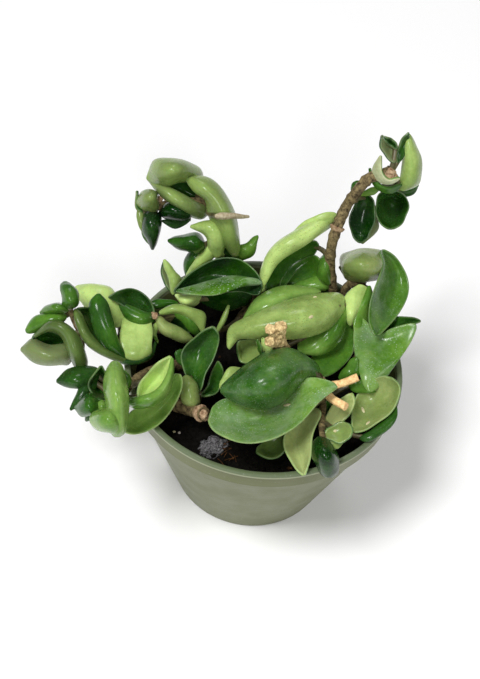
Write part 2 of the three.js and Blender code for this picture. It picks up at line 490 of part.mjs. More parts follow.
// A leaf as a function of two shares, from base to tip and from left edge to right edge.
function leafSheet(places) {
  const lines = places.slice(1, -1).map((line) => line.map(placeFromPhoto));
  const base = placeFromPhoto(places[0]);
  const tip = placeFromPhoto(places[places.length - 1]);
  const middles = [base, ...lines.map((line) => line[1]), tip];
  const leftArms = lines.map((line) => line[0].clone().sub(line[1]));
  const rightArms = lines.map((line) => line[2].clone().sub(line[1]));
  const lefts = [leftArms[0], ...leftArms, leftArms[leftArms.length - 1]];
  const rights = [rightArms[0], ...rightArms, rightArms[rightArms.length - 1]];
  return (share, side) => {
    const position = share * (lines.length + 1);
    const width = widthShare(position, lines.length);
    const point = along(middles, position);
    point.addScaledVector(along(lefts, position), 0.5 * side * (side - 1) * width);
    point.addScaledVector(along(rights, position), 0.5 * side * (side + 1) * width);
    return point;
  };
}

function sheetNormal(sheet, share, side) {
  const step = 0.02;
  const steady = Math.min(Math.max(share, 0.06), 0.94);
  const lengthwise = sheet(steady + step, side).sub(sheet(steady - step, side));
  const crosswise = sheet(steady, side + step).sub(sheet(steady, side - step));
  return lengthwise.cross(crosswise).normalize();
}

function polylineLength(points) {
  let length = 0;
  for (let i = 1; i < points.length; i += 1) {
    length += points[i].distanceTo(points[i - 1]);
  }
  return length;
}

function countFor(length, span, least, most) {
  return Math.min(Math.max(Math.round(length / span), least), most);
}

function toSolid(positions, triangles) {
  const mesh = new wasm.Mesh({
    numProp: 3,
    vertProperties: new Float32Array(positions),
    triVerts: new Uint32Array(triangles),
  });
  return new wasm.Manifold(mesh);
}

// A leaf with one thickness all over, closed along its edge. It can be grown by a margin.
function leafSolid(places, margin) {
  const sheet = leafSheet(places);
  const spine = [0, 0.25, 0.5, 0.75, 1].map((share) => sheet(share, 0));
  const breadth = [-1, -0.5, 0, 0.5, 1].map((side) => sheet(0.5, side));
  const rows = countFor(polylineLength(spine), SPAN_PER_ROW, 3, 7);
  const columns = 2 * countFor(polylineLength(breadth), 2 * SPAN_PER_COLUMN, 1, 2);
  const half = LEAF_THICKNESS / 2 + margin;
  const positions = [];
  const triangles = [];
  const outward = (share, side) => {
    const edge = sheet(share, side);
    const inside = share === 0 || share === 1 ? sheet(0.9 * share + 0.05, 0) : sheet(share, 0);
    return edge.sub(inside).normalize();
  };
  const pair = (share, side) => {
    const point = sheet(share, side);
    const normal = sheetNormal(sheet, share, side);
    if (Math.abs(side) === 1 || share === 0 || share === 1) {
      point.addScaledVector(outward(share, side), margin);
    }
    const above = point.clone().addScaledVector(normal, half);
    const below = point.clone().addScaledVector(normal, -half);
    positions.push(...above.toArray(), ...below.toArray());
    return positions.length / 3 - 2;
  };
  const spacing = (step) => 0.55 * step + 0.45 * (0.5 - 0.5 * Math.cos(Math.PI * step));
  const base = pair(0, 0);
  const inner = [];
  for (let row = 1; row < rows; row += 1) {
    const line = [];
    for (let column = 0; column <= columns; column += 1) {
      line.push(pair(spacing(row / rows), (2 * column) / columns - 1));
    }
    inner.push(line);
  }
  const tip = pair(1, 0);
  const face = (a, b, c) => {
    triangles.push(a, b, c);
    triangles.push(a + 1, c + 1, b + 1);
  };
  const wall = (a, b) => {
    triangles.push(a, a + 1, b + 1);
    triangles.push(a, b + 1, b);
  };
  const last = inner.length - 1;
  for (let column = 0; column < columns; column += 1) {
    face(base, inner[0][column], inner[0][column + 1]);
    face(tip, inner[last][column + 1], inner[last][column]);
    for (let row = 0; row < last; row += 1) {
      face(inner[row][column], inner[row + 1][column], inner[row + 1][column + 1]);
      face(inner[row][column], inner[row + 1][column + 1], inner[row][column + 1]);
    }
  }
  const leftEdge = [base, ...inner.map((line) => line[0]), tip];
  const rightEdge = [base, ...inner.map((line) => line[columns]), tip];
  for (let i = 0; i + 1 < leftEdge.length; i += 1) {
    wall(leftEdge[i], leftEdge[i + 1]);
    wall(rightEdge[i + 1], rightEdge[i]);
  }
  return toSolid(positions, triangles);
}

// A round stem through the points, thick at its foot and thin at its end.
function stemSolid(points, footRadius, endRadius, sides) {
  const spans = points.length - 1;
  const steps = spans === 1 || spans > 5 ? spans : 2 * spans;
  const positions = [];
  const triangles = [];
  let across = new THREE.Vector3(0, 1, 0);
  for (let step = 0; step <= steps; step += 1) {
    const position = (step / steps) * (points.length - 1);
    const centre = along(points, position);
    const ahead = along(points, Math.min(position + 0.1, points.length - 1));
    const behind = along(points, Math.max(position - 0.1, 0));
    const forward = ahead.sub(behind).normalize();
    across = across.clone().addScaledVector(forward, -across.dot(forward)).normalize();
    const beside = forward.clone().cross(across);
    const radius = THREE.MathUtils.lerp(footRadius, endRadius, step / steps);
    for (let k = 0; k < sides; k += 1) {
      const angle = (2 * Math.PI * k) / sides;
      const spot = centre.clone().addScaledVector(across, radius * Math.cos(angle));
      spot.addScaledVector(beside, radius * Math.sin(angle));
      positions.push(...spot.toArray());
    }
  }
  const foot = positions.length / 3;
  positions.push(...points[0].toArray(), ...points[points.length - 1].toArray());
  for (let k = 0; k < sides; k += 1) {
    const next = (k + 1) % sides;
    for (let step = 0; step < steps; step += 1) {
      const low = step * sides;
      const high = low + sides;
      triangles.push(low + k, low + next, high + next);
      triangles.push(low + k, high + next, high + k);
    }
    triangles.push(foot, next, k);
    triangles.push(foot + 1, steps * sides + k, steps * sides + next);
  }
  return toSolid(positions, triangles);
}

// The stem's own points, with its foot carried down into the soil.
function stemPoints(vine) {
  const points = vine.stem.map(placeFromPhoto);
  const foot = points[0].clone();
  foot.z = SOIL_LEVEL - ROOT_DEPTH;
  return [foot, ...points];
}

function nearestOn(lines, point) {
  let best = lines[0][0];
  for (const line of lines) {
    for (let i = 0; i <= 8 * (line.length - 1); i += 1) {
      const candidate = along(line, i / 8);
      if (candidate.distanceTo(point) < best.distanceTo(point)) {
        best = candidate;
      }
    }
  }
  return best;
}

// One vine as a single body: the stem, its sticks, its leaves and their short stalks.
function vineSolid(vine, margin) {
  const trunk = stemPoints(vine);
  const sticks = (vine.sticks ?? []).map((stick) => stick.map(placeFromPhoto));
  const wood = [trunk, ...sticks];
  const [foot, end] = vine.girth.map((radius) => radius + margin);
  const solids = [stemSolid(trunk, foot, end, STEM_SIDES)];
  for (const stick of sticks) {
    solids.push(stemSolid(stick, end, end, STEM_SIDES));
  }
  for (const places of Object.values(vine.leaves)) {
    solids.push(leafSolid(places, margin));
    const sheet = leafSheet(places);
    const inLeaf = sheet(0.1, 0);
    const onStem = nearestOn(wood, inLeaf);
    if (onStem.distanceTo(inLeaf) > PETIOLE_RADIUS) {
      const radius = PETIOLE_RADIUS + margin;
      solids.push(stemSolid([onStem, inLeaf], radius, radius, STALK_SIDES));
    }
  }
  return wasm.Manifold.union(solids);
}

// The main body of a solid, without the scraps and the needle-thin faces that a cut leaves.
function mainBody(solid) {
  const pieces = solid.asOriginal().simplify(SHORTEST_EDGE).decompose();
  pieces.sort((a, b) => b.volume() - a.volume());
  return pieces[0];
}

function lathe(profile, sides) {
  const outline = profile.map(([radius, height]) => new THREE.Vector2(radius, height));
  const geometry = new THREE.LatheGeometry(outline, sides);
  geometry.rotateX(Math.PI / 2);
  return geometry;
}

function geometryToSolid(geometry) {
  const positions = [];
  const index = new Map();
  const triangles = [];
  const source = geometry.index ? geometry.toNonIndexed() : geometry;
  const values = source.getAttribute("position");
  const corner = [];
  for (let i = 0; i < values.count; i += 1) {
    const spot = new THREE.Vector3().fromBufferAttribute(values, i);
    const key = spot.toArray().map((value) => Math.round(value * 1e4)).join(" ");
    if (!index.has(key)) {
      index.set(key, positions.length / 3);
      positions.push(...spot.toArray());
    }
    corner.push(index.get(key));
    if (corner.length === 3) {
      const [a, b, c] = corner.splice(0);
      if (a !== b && b !== c && c !== a) {
        triangles.push(a, b, c);
      }
    }
  }
  const solid = toSolid(positions, triangles);
  return solid.volume() > 0 ? solid : toSolid(positions, triangles.reverse());
}

function potWallRadius(height) {
  const shoulderHeight = POT_HEIGHT - COLLAR_HEIGHT;
  const shoulderRadius = RIM_RADIUS - COLLAR_TAPER - SHOULDER;
  return THREE.MathUtils.lerp(BASE_RADIUS, shoulderRadius, height / shoulderHeight);
}

function potSolid() {
  const shoulderHeight = POT_HEIGHT - COLLAR_HEIGHT;
  const collarRadius = RIM_RADIUS - COLLAR_TAPER;
  const lipUnderside = POT_HEIGHT - LIP_DEPTH;
  const profile = [
    [0, 0],
    [BASE_RADIUS - 1, 0],
    [BASE_RADIUS, 1],
    [potWallRadius(shoulderHeight - 1), shoulderHeight - 1],
    [collarRadius, shoulderHeight],
    [RIM_RADIUS - 0.9, lipUnderside],
    [RIM_RADIUS, lipUnderside + 0.5],
    [RIM_RADIUS, POT_HEIGHT - 0.5],
    [RIM_RADIUS - 0.5, POT_HEIGHT],
    [RIM_RADIUS - 1.9, POT_HEIGHT],
    [RIM_RADIUS - 2.4, POT_HEIGHT - 0.6],
    [collarRadius - WALL, shoulderHeight + 0.6],
    [potWallRadius(shoulderHeight) - WALL, shoulderHeight - 1],
    [potWallRadius(FLOOR_THICKNESS) - WALL, FLOOR_THICKNESS],
    [0, FLOOR_THICKNESS],
  ];
  let pot = geometryToSolid(lathe(profile, POT_SIDES));
  for (let i = 0; i < DRAIN_HOLES; i += 1) {
    const angle = (2 * Math.PI * (i + 0.5)) / DRAIN_HOLES;
    const drill = new THREE.CylinderGeometry(DRAIN_RADIUS, DRAIN_RADIUS, 4 * FLOOR_THICKNESS, DRAIN_SIDES);
    drill.rotateX(Math.PI / 2);
    drill.translate(DRAIN_CIRCLE * Math.cos(angle), DRAIN_CIRCLE * Math.sin(angle), 0);
    pot = pot.subtract(geometryToSolid(drill));
  }
  return pot;
}

const clump = placeFromPhoto([214, 444, SOIL_LEVEL]);

// Height of the soil's crumbly top, with one larger clump near the front.
function soilHeight(x, y) {
  const ripple = Math.sin(0.31 * x + 1.3) * Math.cos(0.27 * y - 0.4);
  const crumbs = Math.sin(0.83 * x - 0.6 * y) + Math.cos(0.71 * y + 0.5 * x);
  const away = Math.hypot(x - clump.x, y - clump.y) / CLUMP_RADIUS;
  const rise = CLUMP_HEIGHT * Math.exp(-away * away);
  return SOIL_LEVEL + SOIL_ROUGHNESS * (0.8 * ripple + 0.35 * crumbs) + rise;
}

function soilSolid() {
  const bottom = FLOOR_THICKNESS + SOIL_FLOOR_GAP;
  const slope = (potWallRadius(1) - potWallRadius(0)) / 1;
  const wallGap = WALL + SOIL_WALL_GAP * Math.hypot(1, slope) + 0.2;
  const bottomRadius = potWallRadius(bottom) - wallGap;
  const topRadius = potWallRadius(SOIL_LEVEL - 2) - wallGap;
  const positions = [0, 0, bottom];
  const triangles = [];
  const ring = (radius, heightAt) => {
    const first = positions.length / 3;
    for (let k = 0; k < SOIL_SIDES; k += 1) {
      const angle = (2 * Math.PI * k) / SOIL_SIDES;
      const x = radius * Math.cos(angle);
      const y = radius * Math.sin(angle);
      positions.push(x, y, heightAt(x, y));
    }
    return first;
  };
  const rings = [ring(bottomRadius, () => bottom), ring(topRadius, () => SOIL_LEVEL - 2)];
  for (let i = SOIL_RINGS - 1; i > 0; i -= 1) {
    rings.push(ring((topRadius * 0.99 * i) / (SOIL_RINGS - 1), soilHeight));
  }
  const crown = positions.length / 3;
  positions.push(0, 0, soilHeight(0, 0));
  for (let k = 0; k < SOIL_SIDES; k += 1) {
    const next = (k + 1) % SOIL_SIDES;
    triangles.push(0, rings[0] + next, rings[0] + k);
    for (let i = 0; i + 1 < rings.length; i += 1) {
      triangles.push(rings[i] + k, rings[i] + next, rings[i + 1] + next);
      triangles.push(rings[i] + k, rings[i + 1] + next, rings[i + 1] + k);
    }
    const inner = rings[rings.length - 1];
    triangles.push(inner + k, inner + next, crown);
  }
  return toSolid(positions, triangles);
}

// Where two corners of one body all but touch, each is drawn a hair into the body.
function partTouchingCorners(geometry) {
  const places = geometry.getAttribute("position");
  const normals = geometry.getAttribute("normal");
  const corners = [];
  for (let i = 0; i < places.count; i += 1) {
    corners.push(new THREE.Vector3().fromBufferAttribute(places, i));
  }
  for (let i = 0; i < corners.length; i += 1) {
    const twin = corners.some((other, k) => k !== i && other.distanceTo(corners[i]) < TOUCHING);
    if (twin) {
      const inward = new THREE.Vector3().fromBufferAttribute(normals, i).multiplyScalar(-DRAWN_IN);
      const moved = corners[i].clone().add(inward);
      places.setXYZ(i, moved.x, moved.y, moved.z);
    }
  }
}

function toMesh(name, solid, look) {
  const result = solid.getMesh();
  const geometry = new THREE.BufferGeometry();
  const values = new Float32Array(3 * result.numVert);
  for (let i = 0; i < result.numVert; i += 1) {
    for (let k = 0; k < 3; k += 1) {
      values[3 * i + k] = result.vertProperties[result.numProp * i + k];
    }
  }
  geometry.setAttribute("position", new THREE.BufferAttribute(values, 3));
  geometry.setIndex(new THREE.BufferAttribute(new Uint32Array(result.triVerts), 1));
  geometry.computeVertexNormals();
  partTouchingCorners(geometry);
  const material = new THREE.MeshStandardMaterial({ metalness: 0, ...COLOURS[look] });
  const mesh = new THREE.Mesh(geometry, material);
  mesh.name = name;
  return mesh;
}

function buildPlant() {
  const group = new THREE.Group();
  group.name = "rope_plant_in_pot";
  const pot = potSolid();
  let soil = soilSolid();
  const finished = [pot];
  for (const [name, vine] of Object.entries(VINES)) {
    let solid = vineSolid(vine, 0);
    for (const earlier of finished) {
      solid = solid.subtract(earlier);
    }
    const piece = mainBody(solid);
    group.add(toMesh(name, piece, vine.look));
    const clearance = vineSolid(vine, FIT_GAP);
    finished.push(clearance, piece);
    soil = soil.subtract(clearance);
  }
  group.add(toMesh("pot", pot, "pot"));
  group.add(toMesh("soil", soil, "soil"));
  return group;
}

export default buildPlant();
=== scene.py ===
import math
import random

import bpy
import numpy as np
from mathutils import Matrix, Vector, noise


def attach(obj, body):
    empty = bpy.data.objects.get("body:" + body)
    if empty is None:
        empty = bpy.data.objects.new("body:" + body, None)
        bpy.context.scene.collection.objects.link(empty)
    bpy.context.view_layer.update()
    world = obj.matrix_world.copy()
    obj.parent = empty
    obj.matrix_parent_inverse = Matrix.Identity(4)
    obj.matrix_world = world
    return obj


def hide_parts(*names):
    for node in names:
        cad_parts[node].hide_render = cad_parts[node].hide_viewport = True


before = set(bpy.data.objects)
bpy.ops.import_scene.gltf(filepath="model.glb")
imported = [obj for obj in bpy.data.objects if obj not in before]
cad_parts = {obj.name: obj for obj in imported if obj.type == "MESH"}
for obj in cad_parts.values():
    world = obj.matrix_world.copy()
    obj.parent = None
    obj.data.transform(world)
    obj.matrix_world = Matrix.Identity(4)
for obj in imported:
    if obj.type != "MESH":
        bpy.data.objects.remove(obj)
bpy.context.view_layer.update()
bpy.ops.object.select_all(action="DESELECT")

# Rope plant with curled leaves in a round nursery pot. Metres, +Z up, origin under the pot.
MM = 0.001

# How the photo looks at the pot: the leaves below are read in it.
LOOK_DOWN = math.radians(49.3)
PICTURE_ROLL = math.radians(-7.5)
EYE_DISTANCE = 600
PIXELS_PER_MM = 2.56
PICTURE_MIDDLE = (240, 339.5)
PICTURE_LONG_SIDE = 679
SENSOR_WIDTH = 36
POT_HEIGHT = 67
AIM = np.array([-10.4, 9.9, POT_HEIGHT])

# Pot: sizes in millimetres, and counts
RIM_RADIUS = 54
BASE_RADIUS = 31.3
WALL = 1.4
FLOOR_THICKNESS = 1.8
LIP_DEPTH = 2
COLLAR_HEIGHT = 8.5
COLLAR_TAPER = 1.4
SHOULDER = 1.2
POT_SIDES = 144
DRAIN_HOLES = 6
DRAIN_RADIUS = 3.5
DRAIN_CIRCLE = 21

# Soil: sizes in millimetres, and counts
SOIL_LEVEL = 56
SOIL_RADIUS = 49
SOIL_BOTTOM = 2.3
SOIL_BOTTOM_RADIUS = 29.8
SOIL_CELLS = 150
SOIL_ROUGHNESS = 0.9
CLUMP_HEIGHT = 4.5
CLUMP_RADIUS = 6
CLUMP_IN_PHOTO = (214, 444, SOIL_LEVEL)
CRUMBS = 420
FIBRES = 16
FIBRE_RADIUS = 0.14
FIBRES_IN_PHOTO = (222, 456)
ROOT_DEPTH = 8

# Leaves and stems: sizes in millimetres
LEAF_THICKNESS = 1.7
GROOVE_DEPTH = 0.2
MARGIN_WAVE = 0.4
DENT_SIZE = 6.5
DENT_DEPTH = 0.5
CRUMPLE_DEPTH = 1.1
END_REACH = 0.8
STALK_RADIUS = 1.0
STUB_SKIN_CELL = 0.28
STUB_LUMP_SIZE = 1.6
STUB_LUMP_HEIGHT = 1.5
FLECK_WIDTH = 0.6
FLECK_HEIGHT = 0.35

# Leaves and stems: shares of a whole, and counts
EDGE_SHARE = 0.36
GROOVE_WIDTH = 0.16
EDGE_SPREAD = 1.06
LEAST_WIDTH = 0.04
CROWDING_AT_ENDS = 0.45
KNOB_ROUGHNESS = 0.4
PLAIN_DUST_AND_SHEEN = 0.15
LEAF_ROWS = 18
LEAF_COLUMNS = 12
OUTLINE_SMOOTHING = 4

# Random draws
SEED = 7
TURN = 6.28

# Lights: place in metres, width in metres, power in watts
LIGHTS = {
    "key": ((-0.75, -0.66, 1.95), 0.7, 41.0),
    "side": ((1.5, -0.3, 1.3), 0.45, 4.0),
    "front": ((0.20, -1.7, 1.5), 0.6, 18.0),
    "back": ((-0.2, 1.6, 1.4), 0.8, 7.0),
}
SKY_STRENGTH = 0.14
FLOOR_SIZE = 6

# Leaves with a round end instead of a point
BLUNT_LEAVES = (
    "ring", "drop", "hood", "cheek", "knob", "bean", "chip_top", "heel", "banana", "peep", "tip_a",
    "hook_top",
)

# Leaves with deeper dents
CRUMPLED_LEAVES = ("cheek", "knob", "crown", "hood", "jaw", "shell", "sail", "mantle", "trough", "shield")

# How much dust the duller leaves carry, as the photo shows them, and with it a pale haze that is partly
# painted sheen
DUST_AND_SHEEN_LEAVES = {
    "front": 2.8, "saucer": 1.6, "sail": 1.2, "boat": 1.3, "saddle": 1.2, "trough": 1.0, "tongue": 0.6,
    "dome": 0.6, "shell": 0.9, "knob": 0.8, "crown": 0.6, "mantle": 0.6, "fan": 0.6, "tab": 0.5,
    "shield": 0.5, "jaw": 0.8, "hood": 0.4, "cheek": 0.4, "paddle": 0.3,
}

# Where a stem has the ring of an old leaf, counted in places along it
NODE_RINGS = {"back_right_vine": (5.0,), "front_vine": (1.5,), "root_stub": (3.8,)}

# Rough knobs of wood on the stems: a place in the photo, then a radius
WOOD_KNOBS = {
    "back_right_vine": (((390, 174, 129), 2.3), ((394, 177, 128), 1.5)),
    "back_left_vine": (((160, 199, 105), 1.2), ((167, 198, 106), 1.2)),
    "left_root_vine": (((155, 316, 81), 1.3), ((153, 314, 80), 0.9)),
    "root_stub": (((203, 414, 72), 1.9), ((206, 418, 70), 1.3)),
}

# The lump on the soil: places in the photo with a height, then a radius
CLUMP_LUMPS = (
    (208, 450, 57, 3.6), (215, 446, 58, 3.8), (222, 447, 57, 2.9), (212, 454, 56, 3.0),
)

# Flecks on the leaves: column and row in the photo, length, turn on the leaf
FLECKS = (
    (287, 405, 3.0, 1.2), (311, 317, 2.0, 0.0), (315, 297, 1.6, 0.3), (363, 410, 3.0, -0.8),
    (368, 423, 2.4, 0.2), (174, 432, 1.4, 1.0), (335, 431, 1.2, 0.4),
)
